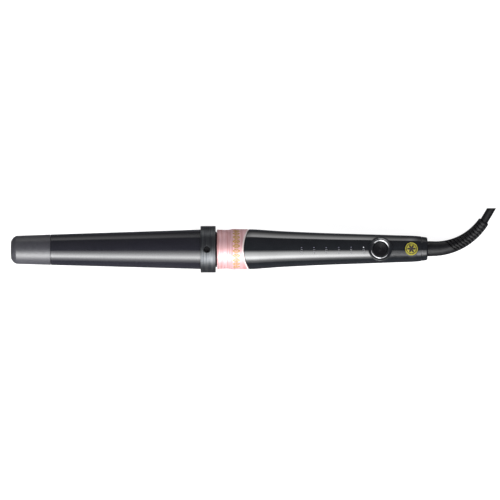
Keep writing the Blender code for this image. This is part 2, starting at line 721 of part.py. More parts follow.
def make_tail():
    cap = [
        (168.9, 6.6),
        (168.9, 7.85),
        (HANDLE_END + GAP, 7.85),
        (HANDLE_END + GAP, 9.9),
        (TAIL_EDGE_X, TAIL_R),
        (TAIL_X, TAIL_R - 0.6),
        (TAIL_X, 6.6),
    ]
    turned("tail_cap", cap, MATERIALS["handle_gloss"], WAND)
    hub = [
        (157.2, CORD_R + 0.4),
        (157.2, 5.2),
        (166.3, 5.2),
        (166.3, 7.4),
        (SWIVEL_X, 7.4),
        (SWIVEL_X, CORD_R + 0.4),
    ]
    turned("swivel_hub", hub, MATERIALS["base_resin"], SWIVEL_JOINT, steps=20, origin=SWIVEL_AT)
    brass, carbon = MATERIALS["brass"], MATERIALS["chip_black"]
    for name, x in (("live", 158.5), ("neutral", 162.0)):
        ring = [(x, 5.65), (x, 6.3), (x + 1.8, 6.3), (x + 1.8, 5.65)]
        turned(f"slip_ring_{name}", ring, brass, SWIVEL_JOINT, steps=SMALL_STEPS, origin=SWIVEL_AT)
        block(f"brush_{name}", (x + 0.3, -1.0, -8.3), (x + 1.5, 1.0, -6.6), carbon, WAND, bevel=0.15)
    path = cord_path()
    swept(
        "cord", path, [CORD_R] * len(path), MATERIALS["boot_rubber"], SWIVEL_JOINT,
        steps=SMALL_STEPS, end_y=CORD_END_Y, origin=SWIVEL_AT,
    )


# ---------------------------------------------------------------- rest stand


def make_bracket():
    """Saddle under the collar with two ears for the stand's pin."""
    steel = MATERIALS["black_steel"]
    bracket = block("stand_bracket", (-4.6, -7.2, -20.9), (4.6, 7.2, -16.5), steel, WAND)
    for side in (-1, 1):
        ear = [(-3.4, -20.0), (3.4, -20.0), (2.4, -24.6), (0.9, -26.0), (-0.9, -26.0), (-2.4, -24.6)]
        low, high = sorted((5.0 * side, 6.6 * side))
        combine(bracket, prism(f"ear_{side}", ear, low, high, steel, WAND), "UNION")
    drill(bracket, "X", -20, 20, COLLAR_R + GAP, (0, 0, 0), WAND, steps=STEPS)
    drill(bracket, "Y", -20, 20, PIN_R + GAP, PIN_AT, WAND)
    centre = (COLLAR_SCREW_X, 0, 0)
    drill(bracket, "Z", -22, -14, 1.4, centre, WAND)
    drill(bracket, "Z", -22, -19.7, 2.5, centre, WAND)
    head = [(-15.2, 0), (-15.2, 1.1), (-20.0, 1.1), (-20.0, 2.1), (-20.8, 1.9), (-20.8, 0)]
    turned("stand_screw", head, steel, WAND, "Z", centre, 12)


def leg_prism(name, outline, half_thick):
    """An outline of (sideways, down the leg) points, made into a plate square to the leg's lean."""
    down = Vector((-math.sin(LEG_LEAN), 0, -math.cos(LEG_LEAN)))
    across = Vector((math.cos(LEG_LEAN), 0, -math.sin(LEG_LEAN)))
    sides = (-half_thick, half_thick)
    points = [down * s + Vector((0, y, 0)) + across * t for t in sides for y, s in outline]
    return make_object(name, points, prism_faces(len(outline)), MATERIALS["base_resin"], STAND_JOINT)


def make_stand():
    """Leg, knuckle and foot, drawn from the pin in axes that lie level when the foot is on the table."""
    resin = MATERIALS["base_resin"]
    home = (0, 0, 0)
    end = LEG_LENGTH - 1.1
    half_leg = [(4.6, 0.0), (4.6, 3.5), (13.2, 13.0), (13.2, end)]
    half_window = [(5.4, 8.0), (9.0, 12.4), (9.0, 15.4)]
    leg, window = [[(-y, s) for y, s in half] + half[::-1] for half in (half_leg, half_window)]
    stand = leg_prism("stand", leg, LEG_THICK / 2)
    combine(stand, rod("knuckle", "Y", -4.6, 4.6, KNUCKLE_R, home, resin, STAND_JOINT), "UNION")
    # The heel meets the bracket when the leg is fully out, and is drawn in the wand's tilted axes.
    turn = Matrix.Rotation(TILT, 3, "Y")
    corners = [turn @ Vector((x, 0, z)) for x, z in ((-3.6, -0.9), (-3.6, 2.2), (0.4, 2.2), (0.4, -0.9))]
    heel = prism("heel", [(c.x, c.z) for c in corners], -4.1, 4.1, resin, STAND_JOINT)
    combine(stand, heel, "UNION")
    low = (-LEG_REACH - 4.5, -FOOT_HALF_WIDTH, -LEG_DROP)
    high = (-LEG_REACH + 4.5, FOOT_HALF_WIDTH, -LEG_DROP + 2.8)
    combine(stand, block("foot", low, high, resin, STAND_JOINT, bevel=0.7), "UNION")
    combine(stand, leg_prism("stand_window", window, 3.0), "DIFFERENCE")
    drill(stand, "Y", -20, 20, PIN_R + GAP, home, STAND_JOINT)
    head, tail = [(-8.0, 0), (-8.0, 1.7), (-7.1, 2.0)], [(7.1, 1.7), (7.9, 1.5), (7.9, 0)]
    pin = head + [(-7.1, PIN_R), (7.1, PIN_R)] + tail
    turned("stand_pin", pin, MATERIALS["steel"], STAND_JOINT, "Y", home, SMALL_STEPS)


make_tip()
make_barrel()
make_heater()
make_base()
make_collar()
make_sleeve()
make_shells()
make_badge()
make_board()
make_button()
make_boot()
make_tail()
make_bracket()
make_stand()
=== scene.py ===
import json
import math

import bmesh
import bpy
import numpy as np
from mathutils import Matrix, Vector


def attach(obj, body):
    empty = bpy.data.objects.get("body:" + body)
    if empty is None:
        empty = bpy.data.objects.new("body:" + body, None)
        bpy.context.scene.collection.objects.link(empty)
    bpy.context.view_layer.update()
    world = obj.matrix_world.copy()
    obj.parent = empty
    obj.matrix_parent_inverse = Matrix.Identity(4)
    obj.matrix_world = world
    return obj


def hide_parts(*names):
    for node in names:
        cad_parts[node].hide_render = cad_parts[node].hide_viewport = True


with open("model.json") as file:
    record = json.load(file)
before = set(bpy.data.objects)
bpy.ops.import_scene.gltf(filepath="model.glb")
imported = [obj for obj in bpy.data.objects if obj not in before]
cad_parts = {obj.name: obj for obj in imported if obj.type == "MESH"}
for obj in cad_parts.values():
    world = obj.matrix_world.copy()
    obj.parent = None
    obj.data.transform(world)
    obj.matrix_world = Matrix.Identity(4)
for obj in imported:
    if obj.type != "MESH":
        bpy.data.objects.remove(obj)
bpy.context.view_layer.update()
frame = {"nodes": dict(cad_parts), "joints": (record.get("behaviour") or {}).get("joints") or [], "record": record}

MM = 0.001

# -------------------------------- the wand's own frame
# +X runs along its axis towards the cord and +Z out of the button. Its origin is on the axis at
# the collar's middle, 168 mm before the swivel. Everything below is in millimetres in that frame.

JOINTS = {joint["name"]: joint for joint in frame["joints"]}
AXIS = Vector(JOINTS["cord_swivel"]["axis"]).normalized()
SIDE = Vector((0, 1, 0))
OUT = AXIS.cross(SIDE)
SWIVEL_X = 168.0
ORIGIN = Vector(JOINTS["cord_swivel"]["pos_m"]) - AXIS * SWIVEL_X * MM
WAND = Matrix.Identity(4)
for column, direction in enumerate((AXIS, SIDE, OUT, ORIGIN)):
    for row in range(3):
        WAND[row][column] = direction[row]
WAND_BACK = WAND.inverted()
STAND = Matrix.Translation(JOINTS["stand_fold"]["pos_m"])

TIP_X, TIP_END = -159.5, -127.5
COLLAR_HALF, COLLAR_R, COLLAR_SCREW_X = 6.1, 18.87, -0.9
SLEEVE_X0, HANDLE_X0, SCALLOP, SLEEVE_STEPS = 7.2, 28.9, 4.2, 192
ORNAMENT_X, ORNAMENT_R = 22.9, 16.4
BUTTON_X, BADGE_X = 139.1, 164.3
LAMP_XS = [75.5 + 10.0 * i for i in range(6)]
LAMP_Y = 1.2
FIRST_TEMPERATURE, TEMPERATURE_STEP = 120, 20
SHELL_SCREW_XS = (50.0, 100.5, 153.5)
TAIL_X = 177.5
BEND_X, BEND_RADIUS, BEND_ANGLE, BEND_LIFT = 182.8, 47.6, math.radians(60.0), 7.0
CORD_R, CORD_END_Y = 3.2, 32.6
BOOT_R0, BOOT_R1, BOOT_LENGTH = 6.2, 4.45, 53.0

BARREL_LINE = ((-127.2, 12.35), (-6.1, 16.0))
HANDLE_LINE = (
    (28.9, 16.2), (37.0, 16.1), (44.0, 15.65), (58.0, 14.65), (74.0, 13.85), (92.0, 13.05),
    (112.0, 12.35), (131.0, 11.75), (151.0, 11.05), (170.0, 10.3), (172.8, 9.95),
)
SLEEVE_LINE = (
    (7.2, 16.0), (11.5, 15.85), (14.5, 15.75), (17.0, 15.9), (18.6, 16.15), (19.8, 16.5), (21.0, 16.48),
    (25.0, 16.32), (28.5, 16.25), (33.0, 16.18),
)


def smooth_line(points):
    """A monotone cubic through (x, r) points, as a function for r."""
    xs = np.array([p[0] for p in points], float)
    rs = np.array([p[1] for p in points], float)
    step = np.diff(xs)
    secant = np.diff(rs) / step
    slope = np.concatenate([[secant[0]], (secant[:-1] + secant[1:]) / 2, [secant[-1]]])
    for i, s in enumerate(secant):
        if abs(s) < 1e-9:
            slope[i] = slope[i + 1] = 0.0
            continue
        a, b = slope[i] / s, slope[i + 1] / s
        if a < 0:
            slope[i] = 0.0
        if b < 0:
            slope[i + 1] = 0.0
        norm = math.hypot(a, b)
        if norm > 3:
            slope[i], slope[i + 1] = 3 * a * s / norm, 3 * b * s / norm

    def radius(x):
        x = min(max(x, xs[0]), xs[-1])
        i = min(int(np.searchsorted(xs, x, side="right")) - 1, len(step) - 1)
        t = (x - xs[i]) / step[i]
        h = step[i]
        return (
            rs[i] * (2 * t**3 - 3 * t**2 + 1)
            + h * slope[i] * (t**3 - 2 * t**2 + t)
            + rs[i + 1] * (-2 * t**3 + 3 * t**2)
            + h * slope[i + 1] * (t**3 - t**2)
        )

    return radius


handle_radius = smooth_line(HANDLE_LINE)
sleeve_radius = smooth_line(SLEEVE_LINE)


def barrel_radius(x):
    (x0, r0), (x1, r1) = BARREL_LINE
    return r0 + (r1 - r0) * (x - x0) / (x1 - x0)


# -------------------------------- materials


class Shading:
    """A Principled material with detail in the wand's own millimetres, so that streaks run round its axis."""

    def __init__(self, name, colour, roughness, metallic=0.0, ior=1.5):
        self.material = bpy.data.materials.new(name)
        self.material.use_nodes = True
        self.nodes = self.material.node_tree.nodes
        self.links = self.material.node_tree.links
        self.shader = self.nodes["Principled BSDF"]
        self.colour = (*colour, 1.0)
        self.roughness = roughness
        self.set("Base Color", self.colour)
        self.set("Roughness", roughness)
        self.set("Metallic", metallic)
        self.set("IOR", ior)
        self.normal = None

    def set(self, socket, value):
        self.shader.inputs[socket].default_value = value
        return self

    def node(self, kind, **values):
        node = self.nodes.new(kind)
        for key, value in values.items():
            if key in node.inputs:
                node.inputs[key].default_value = value
            else:
                setattr(node, key, value)
        return node

    def link(self, source, output, target, socket):
        self.links.new(source.outputs[output], target.inputs[socket])
        return target

    def millimetres(self, stretch=(1, 1, 1)):
        place = self.node("ShaderNodeTexCoord")
        mapping = self.node("ShaderNodeMapping", vector_type="TEXTURE")
        mapping.inputs["Location"].default_value = ORIGIN
        mapping.inputs["Rotation"].default_value = WAND.to_euler()
        mapping.inputs["Scale"].default_value = [MM / s for s in stretch]
        return self.link(place, "Object", mapping, "Vector")

    def noise(self, scale, detail=3.0, stretch=(1, 1, 1), distortion=0.0):
        noise = self.node("ShaderNodeTexNoise", Scale=scale, Detail=detail, Distortion=distortion)
        return self.link(self.millimetres(stretch), "Vector", noise, "Vector")

    def ranged(self, source, output, low, high, span=(0.3, 0.7)):
        ranged = self.node("ShaderNodeMapRange")
        ranged.inputs["From Min"].default_value, ranged.inputs["From Max"].default_value = span
        ranged.inputs["To Min"].default_value, ranged.inputs["To Max"].default_value = low, high
        return self.link(source, output, ranged, "Value")

    def vary_roughness(self, spread, scale, **more):
        low, high = self.roughness - spread, self.roughness + spread
        ranged = self.ranged(self.noise(scale, **more), "Fac", low, high)
        self.links.new(ranged.outputs["Result"], self.shader.inputs["Roughness"])
        return self

    def vary_colour(self, other, scale, span=(0.35, 0.65), **more):
        mix = self.node("ShaderNodeMix", data_type="RGBA")
        mix.inputs[6].default_value = self.colour
        mix.inputs[7].default_value = (*other, 1.0)
        ranged = self.ranged(self.noise(scale, **more), "Fac", 0.0, 1.0, span)
        self.links.new(ranged.outputs["Result"], mix.inputs[0])
        self.links.new(mix.outputs[2], self.shader.inputs["Base Color"])
        return self

    def bump(self, height, scale, **more):
        """height is in millimetres."""
        return self.bump_from(self.noise(scale, **more), "Fac", height)

    def bump_from(self, source, output, height):
        bump = self.node("ShaderNodeBump", Strength=1.0, Distance=height * MM)
        self.link(source, output, bump, "Height")
        if self.normal:
            self.link(self.normal, "Normal", bump, "Normal")
        self.normal = bump
        self.links.new(bump.outputs["Normal"], self.shader.inputs["Normal"])
        return self


def make_materials():
    made = {}

    def add(name, *args, **more):
        made[name] = Shading(name, *args, **more)
        return made[name]

    tip = add("tip_nylon", (0.047, 0.047, 0.056), 0.37, ior=1.85)
    tip.vary_roughness(0.04, 1.4).vary_colour((0.062, 0.062, 0.072), 0.35, detail=4.0)
    tip.bump(0.012, 3.2, detail=2.0)

    barrel = add("barrel_lacquer", (0.012, 0.012, 0.018), 0.15, ior=1.75)
    barrel.vary_roughness(0.035, 0.22, stretch=(0.25, 1, 1), detail=5.0)
    barrel.vary_colour((0.016, 0.016, 0.022), 0.08, stretch=(0.3, 1, 1))
    barrel.bump(0.004, 1.1, stretch=(0.08, 1, 1), detail=4.0)

    collar = add("collar_brushed", (0.118, 0.123, 0.128), 0.39, metallic=0.88)
    collar.vary_colour((0.062, 0.066, 0.072), 1.5, stretch=(1, 0.035, 0.035), span=(0.40, 0.60), detail=6.0)
    collar.vary_roughness(0.10, 2.2, stretch=(1, 0.03, 0.03), detail=5.0)
    collar.bump(0.05, 2.0, stretch=(1, 0.03, 0.03), detail=6.0)

    rose = add("rose_gold", (0.66, 0.32, 0.32), 0.5, metallic=0.38, ior=2.0)
    rose.vary_colour((0.82, 0.52, 0.55), 0.9, stretch=(1, 0.05, 0.05), span=(0.4, 0.6), detail=5.0)
    rose.vary_roughness(0.08, 1.3, stretch=(1, 0.06, 0.06), detail=5.0)
    rose.bump(0.04, 1.3, stretch=(1, 0.03, 0.03), detail=5.0)

    # Near-white colour on the sleeve's rear edge: a painted highlight line, not the edge's own rose tone.
    rim = add("rim_painted_highlight", (0.95, 0.86, 0.84), 0.34, metallic=0.1, ior=1.8)
    rim.vary_roughness(0.05, 1.6).vary_colour((0.92, 0.78, 0.76), 1.2)

    gloss = add("handle_lacquer", (0.006, 0.0075, 0.0095), 0.07, ior=1.8)
    gloss.vary_roughness(0.02, 0.35, detail=5.0)
    gloss.vary_colour((0.009, 0.0105, 0.013), 0.12)
    gloss.bump(0.0025, 0.45, detail=2.0)

    chrome = add("chrome", (0.27, 0.27, 0.275), 0.06, metallic=1.0)
    chrome.vary_roughness(0.02, 0.8, detail=4.0).vary_colour((0.22, 0.225, 0.235), 0.5)

    cap = add("button_soft", (0.004, 0.004, 0.005), 0.24, ior=1.32)
    cap.vary_roughness(0.04, 2.0).vary_colour((0.008, 0.008, 0.010), 2.4)
    cap.bump(0.006, 4.2, detail=2.0)

    gold = add("badge_gold", (0.55, 0.50, 0.06), 0.33, metallic=0.3)
    gold.vary_roughness(0.06, 1.8).vary_colour((0.42, 0.38, 0.045), 1.2)

    ink = add("badge_ink", (0.012, 0.005, 0.010), 0.4)
    ink.vary_roughness(0.05, 3.0).vary_colour((0.022, 0.010, 0.018), 2.0)

    inlay = add("sleeve_gold", (0.46, 0.28, 0.03), 0.42, metallic=0.5, ior=1.4)
    inlay.vary_roughness(0.06, 2.0).vary_colour((0.58, 0.37, 0.06), 1.5)

    rubber = add("boot_rubber", (0.005, 0.005, 0.006), 0.44, ior=1.4)
    rubber.vary_roughness(0.07, 0.9).vary_colour((0.012, 0.012, 0.014), 0.5, detail=4.0)
    rubber.bump(0.012, 2.8, detail=3.0)

    cord = add("cord_sheath", (0.004, 0.004, 0.005), 0.42, ior=1.22)
    cord.vary_roughness(0.06, 0.6).vary_colour((0.010, 0.010, 0.012), 0.4)
    cord.bump(0.02, 1.2, detail=3.0)

    resin = add("black_resin", (0.026, 0.026, 0.028), 0.48)
    resin.vary_roughness(0.06, 1.2).vary_colour((0.036, 0.036, 0.038), 0.5)
    resin.bump(0.015, 3.0, detail=2.0)

    dark_steel = add("blackened_steel", (0.022, 0.022, 0.025), 0.36, metallic=0.6)
    dark_steel.vary_roughness(0.08, 1.5).vary_colour((0.040, 0.040, 0.044), 0.9).bump(0.008, 3.5)

    # Near-black with weak reflection: the screw's and the neck's own black, darkened further as painted shade in
    # the screw's recess and in the gap between collar and sleeve.
    shade_black = add("painted_shade_black", (0.004, 0.004, 0.005), 0.55, ior=1.2)
    shade_black.vary_roughness(0.06, 2.0).vary_colour((0.010, 0.010, 0.011), 1.5)

    steel = add("bright_steel", (0.56, 0.56, 0.58), 0.3, metallic=1.0)
    steel.vary_roughness(0.08, 1.1).vary_colour((0.48, 0.48, 0.50), 0.8)

    print_ink = add("scale_print", (0.20, 0.20, 0.215), 0.5)
    print_ink.vary_roughness(0.05, 3.0).vary_colour((0.16, 0.16, 0.175), 2.5)

    lens = add("lamp_lens", (0.13, 0.13, 0.17), 0.18)
    lens.vary_roughness(0.04, 2.0).vary_colour((0.10, 0.10, 0.14), 2.0)

    lit = add("lamp_lit", (0.75, 0.76, 0.80), 0.18)
    lit.vary_roughness(0.04, 2.0).vary_colour((0.68, 0.70, 0.74), 2.0)

    copper = add("copper", (0.72, 0.33, 0.18), 0.35, metallic=1.0)
    copper.vary_roughness(0.06, 3.0).vary_colour((0.60, 0.26, 0.14), 3.0)

    for name, colour, other, rough, metal in (
        ("aluminium", (0.70, 0.70, 0.72), (0.62, 0.62, 0.64), 0.38, 1.0),
        ("ceramic", (0.78, 0.76, 0.70), (0.70, 0.68, 0.62), 0.62, 0.0),
        ("brass", (0.72, 0.55, 0.24), (0.62, 0.46, 0.2), 0.32, 1.0),
        ("board", (0.03, 0.15, 0.07), (0.02, 0.11, 0.05), 0.45, 0.0),
        ("component", (0.02, 0.02, 0.022), (0.03, 0.03, 0.032), 0.5, 0.0),
        ("wire_red", (0.45, 0.035, 0.03), (0.38, 0.03, 0.025), 0.5, 0.0),
        ("wire_blue", (0.035, 0.07, 0.36), (0.03, 0.055, 0.3), 0.5, 0.0),
    ):
        add(name, colour, rough, metallic=metal).vary_roughness(0.06, 1.0).vary_colour(other, 0.8)
    return made


MATERIALS = make_materials()


# -------------------------------- mesh helpers


SHARP = 35.0  # an edge that turns more than this many degrees stays sharp


def piece(name, points, faces, material, body="wand", stands_for=(), slot=None, sharp=SHARP, place=WAND):
    """A closed mesh from millimetres in place's frame. It rides on a body and stands for CAD nodes."""
    mesh = bpy.data.meshes.new(name)
    coords = [place @ (Vector(point) * MM) for point in points]
    mesh.from_pydata(coords, [], [tuple(int(i) for i in face) for face in faces])
    work = bmesh.new()
    work.from_mesh(mesh)
    bmesh.ops.recalc_face_normals(work, faces=work.faces)
    work.to_mesh(mesh)
    work.free()
    mesh.shade_smooth()
    mesh.set_sharp_from_angle(angle=math.radians(sharp))
    mesh.materials.append(MATERIALS[material].material)
    obj = bpy.data.objects.new(name, mesh)
    bpy.context.scene.collection.objects.link(obj)
    if body:
        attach(obj, body)
    if stands_for:
        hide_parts(*stands_for)
    return obj


def filleted(corners, steps=5):
    """Rounds the corners of an open (along, radius, fillet) line."""
    line = []
    for i, corner in enumerate(corners):
        here = np.array(corner[:2], float)
        fillet = corner[2] if len(corner) > 2 else 0.0
        if not fillet or i in (0, len(corners) - 1):
            line.append(tuple(here))
            continue
        before, after = np.array(corners[i - 1][:2], float), np.array(corners[i + 1][:2], float)
        a, b = before - here, after - here
        la, lb = np.linalg.norm(a), np.linalg.norm(b)
        a, b = a / la, b / lb
        half = math.acos(max(-1.0, min(1.0, float(a @ b)))) / 2
        if half > math.radians(89):
            line.append(tuple(here))
            continue
        cut = min(fillet / math.tan(half), 0.48 * la, 0.48 * lb)
        start, end = here + a * cut, here + b * cut
        for k in range(steps + 1):
            t = k / steps
            line.append(tuple((1 - t) ** 2 * start + 2 * t * (1 - t) * here + t * t * end))
    return line


def stations(x0, x1, spacing):
    count = max(1, round(abs(x1 - x0) / spacing))
    return [x0 + (x1 - x0) * i / count for i in range(count + 1)]


def spun(line, steps=128, axis="X", centre=(0, 0, 0), spot=None):
    """Points and faces of a line turned round an axis. It closes on itself unless it starts at radius 0.

    spot(along, radius, angle) may move a point.
    """
    angles = [math.tau * i / steps for i in range(steps)]
    points, rings = [], []
    for along, radius in line:
        row = angles if radius > 1e-9 else [0.0]
        rings.append(range(len(points), len(points) + len(row)))
        for angle in row:
            a, r = spot(along, radius, angle) if spot else (along, radius)
            s, c = r * math.sin(angle), r * math.cos(angle)
            offset = {"X": (a, s, c), "Y": (s, a, c), "Z": (c, s, a)}[axis]
            points.append([p + q for p, q in zip(centre, offset)])
    solid = line[0][1] <= 1e-9
    pairs = list(zip(rings, rings[1:])) + ([] if solid else [(rings[-1], rings[0])])
    faces = []
    for low, high in pairs:
        for i in range(steps):
            j = (i + 1) % steps
            quad = [low[i % len(low)], low[j % len(low)], high[j % len(high)], high[i % len(high)]]
            faces.append(list(dict.fromkeys(quad)))
    return points, faces


def band_faces(rows, size, start=0, closed=False, around=True):
    """Quads between rows of size points each, the first row starting at point number start.

    closed joins the last row to the first, and around joins each row's last point to its first.
    """
    faces = []
    for row in range(rows if closed else rows - 1):
        low, high = start + row * size, start + (row + 1) % rows * size
        for i in range(size if around else size - 1):
            j = (i + 1) % size
            faces.append((low + i, low + j, high + j, high + i))
    return faces


def capped_faces(rows, size, start=0):
    """Quads between rows that go all round, and a cap on the first and on the last row."""
    last = start + (rows - 1) * size
    caps = [tuple(range(start, start + size)), tuple(reversed(range(last, last + size)))]
    return band_faces(rows, size, start) + caps


def lathe(name, line, material, steps=128, axis="X", centre=(0, 0, 0), spot=None, **more):
    points, faces = spun(line, steps, axis, centre, spot)
    return piece(name, points, faces, material, **more)


def cutter(points, faces, place=WAND):
    return piece("cutter", points, faces, "black_resin", body=None, place=place)


def cylinder(low, high, radius, steps, axis, centre=(0, 0, 0), place=WAND):
    """A plain cylinder to cut with or to join on."""
    return cutter(*spun([(low, 0), (low, radius), (high, radius), (high, 0)], steps, axis, centre), place)


def carve(obj, cutters, operation="DIFFERENCE"):
    """Applies exact Booleans to obj and drops the cutters."""
    bpy.context.view_layer.update()
    for i, other in enumerate(cutters):
        modifier = obj.modifiers.new(f"cut_{i}", "BOOLEAN")
        modifier.operation, modifier.solver, modifier.object = operation, "EXACT", other
    bake(obj)
    for other in cutters:
        mesh = other.data
        bpy.data.objects.remove(other)
        bpy.data.meshes.remove(mesh)
    return obj


def bake(obj):
    """Turns obj's modifiers into mesh."""
    graph = bpy.context.evaluated_depsgraph_get()
    graph.update()
    made = bpy.data.meshes.new_from_object(obj.evaluated_get(graph), depsgraph=graph)
    old, name = obj.data, obj.data.name
    obj.modifiers.clear()
    obj.data = made
    bpy.data.meshes.remove(old)
    made.name = name
    return obj


def soften(obj, width):
    """Rounds obj's edges by width millimetres."""
    modifier = obj.modifiers.new("soften", "BEVEL")
    modifier.width, modifier.segments, modifier.angle_limit = width * MM, 3, math.radians(38.0)
    modifier.limit_method, modifier.harden_normals = "ANGLE", True
    bake(obj)


def polish(obj, radius):
    """Gives the turned outside of obj exact normals, so that its reflections run straight past cut holes.

    radius(x) is the outside's radius in millimetres.
    """
    mesh = obj.data
    mesh.shade_smooth()
    mesh.set_sharp_from_angle(angle=math.radians(SHARP))
    normals = [Vector((0, 0, 0))] * len(mesh.loops)
    for face in mesh.polygons:
        for loop in face.loop_indices:
            x, y, z = WAND_BACK @ mesh.vertices[mesh.loops[loop].vertex_index].co / MM
            reach = math.hypot(y, z)
            if abs(reach - radius(x)) > 0.03:
                continue
            slope = (radius(x + 0.05) - radius(x - 0.05)) / 0.1
            exact = (WAND.to_3x3() @ Vector((-slope, y / reach, z / reach))).normalized()
            if exact.dot(face.normal) > 0.9:
                normals[loop] = exact
    mesh.normals_split_custom_set(normals)


# -------------------------------- tip, barrel and collar


def build_tip():
    seam, plug = TIP_END - 0.12, -119.0
    corners = [
        (TIP_X, 0), (TIP_X, 7.3, 1.2), (TIP_X + 1.7, 9.9, 3.0), (TIP_X + 4.2, 11.4, 2.6),
        (TIP_END - 1.0, 12.27), (seam, 12.3, 0.25), (seam, 11.3), (plug, 10.6), (plug, 0),
    ]
    corners = filleted(corners, 8)
    lathe("cool_tip_shell", corners, "tip_nylon", stands_for=["cool_tip"], slot="cool_tip")


def build_barrel():
    wall, front, back = 1.1, BARREL_LINE[0][0], 1.5
    outer = filleted([(front, 11.6), (front, 12.33, 0.22), (front + 3, barrel_radius(front + 3))], 5)
    outer += [(x, barrel_radius(x)) for x in stations(-123, -6.3, 6.0)] + [(back, 16.0)]
    line = outer + [(back, 16.0 - wall), (-6, 15.9 - wall), (-127.0, 12.3 - wall)]
    lathe("barrel_tube", line, "barrel_lacquer", steps=160, stands_for=["barrel"], slot="barrel")


def build_collar():
    line = filleted([
        (-COLLAR_HALF, 16.3), (-COLLAR_HALF, COLLAR_R, 0.5), (COLLAR_HALF, COLLAR_R, 0.5),
        (COLLAR_HALF, 14.6), (4.6, 14.6), (4.6, 16.4), (-COLLAR_HALF, 16.3),
    ], 5)[:-1]
    ring = lathe("collar_ring", line, "collar_brushed", 160, stands_for=["collar"], slot="collar")
    x = COLLAR_SCREW_X
    recess = cutter(*spun([(16.9, 0), (16.9, 2.6), (18.35, 2.6), (20, 4.25), (20, 0)], 64, "Z", (x, 0, 0)))
    carve(ring, [recess])
    polish(ring, lambda at: COLLAR_R)
    head = filleted([
        (15.2, 0), (15.2, 1.1), (16.95, 1.1), (16.95, 2.3), (17.6, 2.3, 0.35), (17.6, 1.3, 0.12),
        (17.05, 1.2), (17.0, 0),
    ], 4)
    socket = hexagon(1.35, lambda along: along > 16)
    # The head takes the near-black painted-shade material, so that its recess reads dark.
    lathe(
        "collar_screw_head", head, "painted_shade_black", 48, "Z", (x, 0, 0), socket,
        stands_for=["collar_screw"], slot="black_steel",
    )


def hexagon(limit, within):
    """A spot for spun: makes the rings inside limit six-sided where within(along) holds, for a socket."""

    def spot(along, radius, angle):
        if radius > limit or not within(along):
            return along, radius
        turn = (angle + math.radians(15)) % (math.pi / 3) - math.pi / 6
        return along, radius * math.cos(math.pi / 6) / math.cos(turn) * 1.08

    return spot


def build_neck():
    line = filleted([
        (1.9, 12.0), (1.9, 16.1, 0.2), (4.2, 16.1), (4.2, 14.3), (7.0, 14.3, 0.1), (7.0, 13.2), (24.0, 13.2),
        (24.0, 11.6), (6.0, 10.2), (1.9, 12.0),
    ], 3)[:-1]
    # Near-black painted shade in the gap between collar and sleeve.
    lathe("neck_ring", line, "painted_shade_black", steps=96, stands_for=["barrel_base"], slot="black_resin")


# -------------------------------- sleeve


def scallop(angle):
    """How far the sleeve's rear edge lies behind its top at this angle round the axis."""
    return SCALLOP * math.sin(angle) ** 2


def build_sleeve():
    """Each row is (x at the top, the share of the scallop that it follows, depth below the outside)."""
    rows = [(SLEEVE_X0, 0, 2.2), (SLEEVE_X0, 0, 0.35), (SLEEVE_X0 + 0.1, 0, 0.12), (SLEEVE_X0 + 0.35, 0, 0.0)]
    for x in stations(SLEEVE_X0 + 0.9, 28.0, 0.45):
        rows.append((x, max(0.0, (x - 21.0) / (28.3 - 21.0)) ** 2, 0.0))
    rows += [(28.25, 1, 0.0), (28.45, 1, 0.06), (28.55, 1, 0.25), (28.55, 1, 2.15)]
    rows += [(37.0, 0, 2.2), (37.0, 0, 3.0), (SLEEVE_X0, 0, 3.0)]
    points = []
    for x, share, depth in rows:
        for i in range(SLEEVE_STEPS):
            angle = math.tau * i / SLEEVE_STEPS
            along = x + share * scallop(angle)
            radius = sleeve_radius(along) - depth - groove(along) * (depth == 0.0)
            if depth > 2.19:  # the straight bore
                radius = 16.2 - depth
            points.append((along, radius * math.sin(angle), radius * math.cos(angle)))
    faces = band_faces(len(rows), SLEEVE_STEPS, closed=True)
    piece("sleeve_shell", points, faces, "rose_gold", stands_for=["sleeve"], slot="rose_gold")
    build_rim()
    build_ornament()


def groove(x):
    """Two fine turned lines round the sleeve."""
    return sum(0.09 * math.exp(-(((x - at) / 0.28) ** 2)) for at in (13.0, 15.6))


def build_rim():
    """The sleeve's polished rear edge, which follows the scallop, coloured near-white as a painted highlight line.
    """
    rows = [(27.65, -0.06), (27.65, 0.02), (27.8, 0.07), (28.35, 0.07), (28.49, 0.02), (28.56, -0.12)]
    rows.append((28.56, -0.3))
    points = []
    for x, height in rows:
        for i in range(SLEEVE_STEPS):
            angle = math.tau * i / SLEEVE_STEPS
            along = x + scallop(angle)
            radius = sleeve_radius(along) + height
            points.append((along, radius * math.sin(angle), radius * math.cos(angle)))
    faces = band_faces(len(rows), SLEEVE_STEPS, closed=True)
    piece("sleeve_rim", points, faces, "rim_painted_highlight", slot="rose_gold")


def build_ornament():
    """A plain chain of gold lozenges with a bead in each, raised a little from the sleeve."""
    points, faces = [], []
    count, first, last = 10, math.radians(-64), math.radians(60)
    pitch = (last - first) / (count - 1)
    for k in range(count):
        angle = first + pitch * k
        add_lozenge(points, faces, ORNAMENT_X, angle, 3.0, ORNAMENT_R * pitch / 2 - 0.3, 48)
        add_boss(points, faces, ORNAMENT_X, angle, 0.9, 0.38, 20)
    piece("sleeve_ornament", points, faces, "sleeve_gold", sharp=60)


def on_sleeve(x, angle, height):
    """A point this high above the sleeve. The angle grows from the top towards -Y."""
    radius = sleeve_radius(x) + height
    return (x, -radius * math.sin(angle), radius * math.cos(angle))


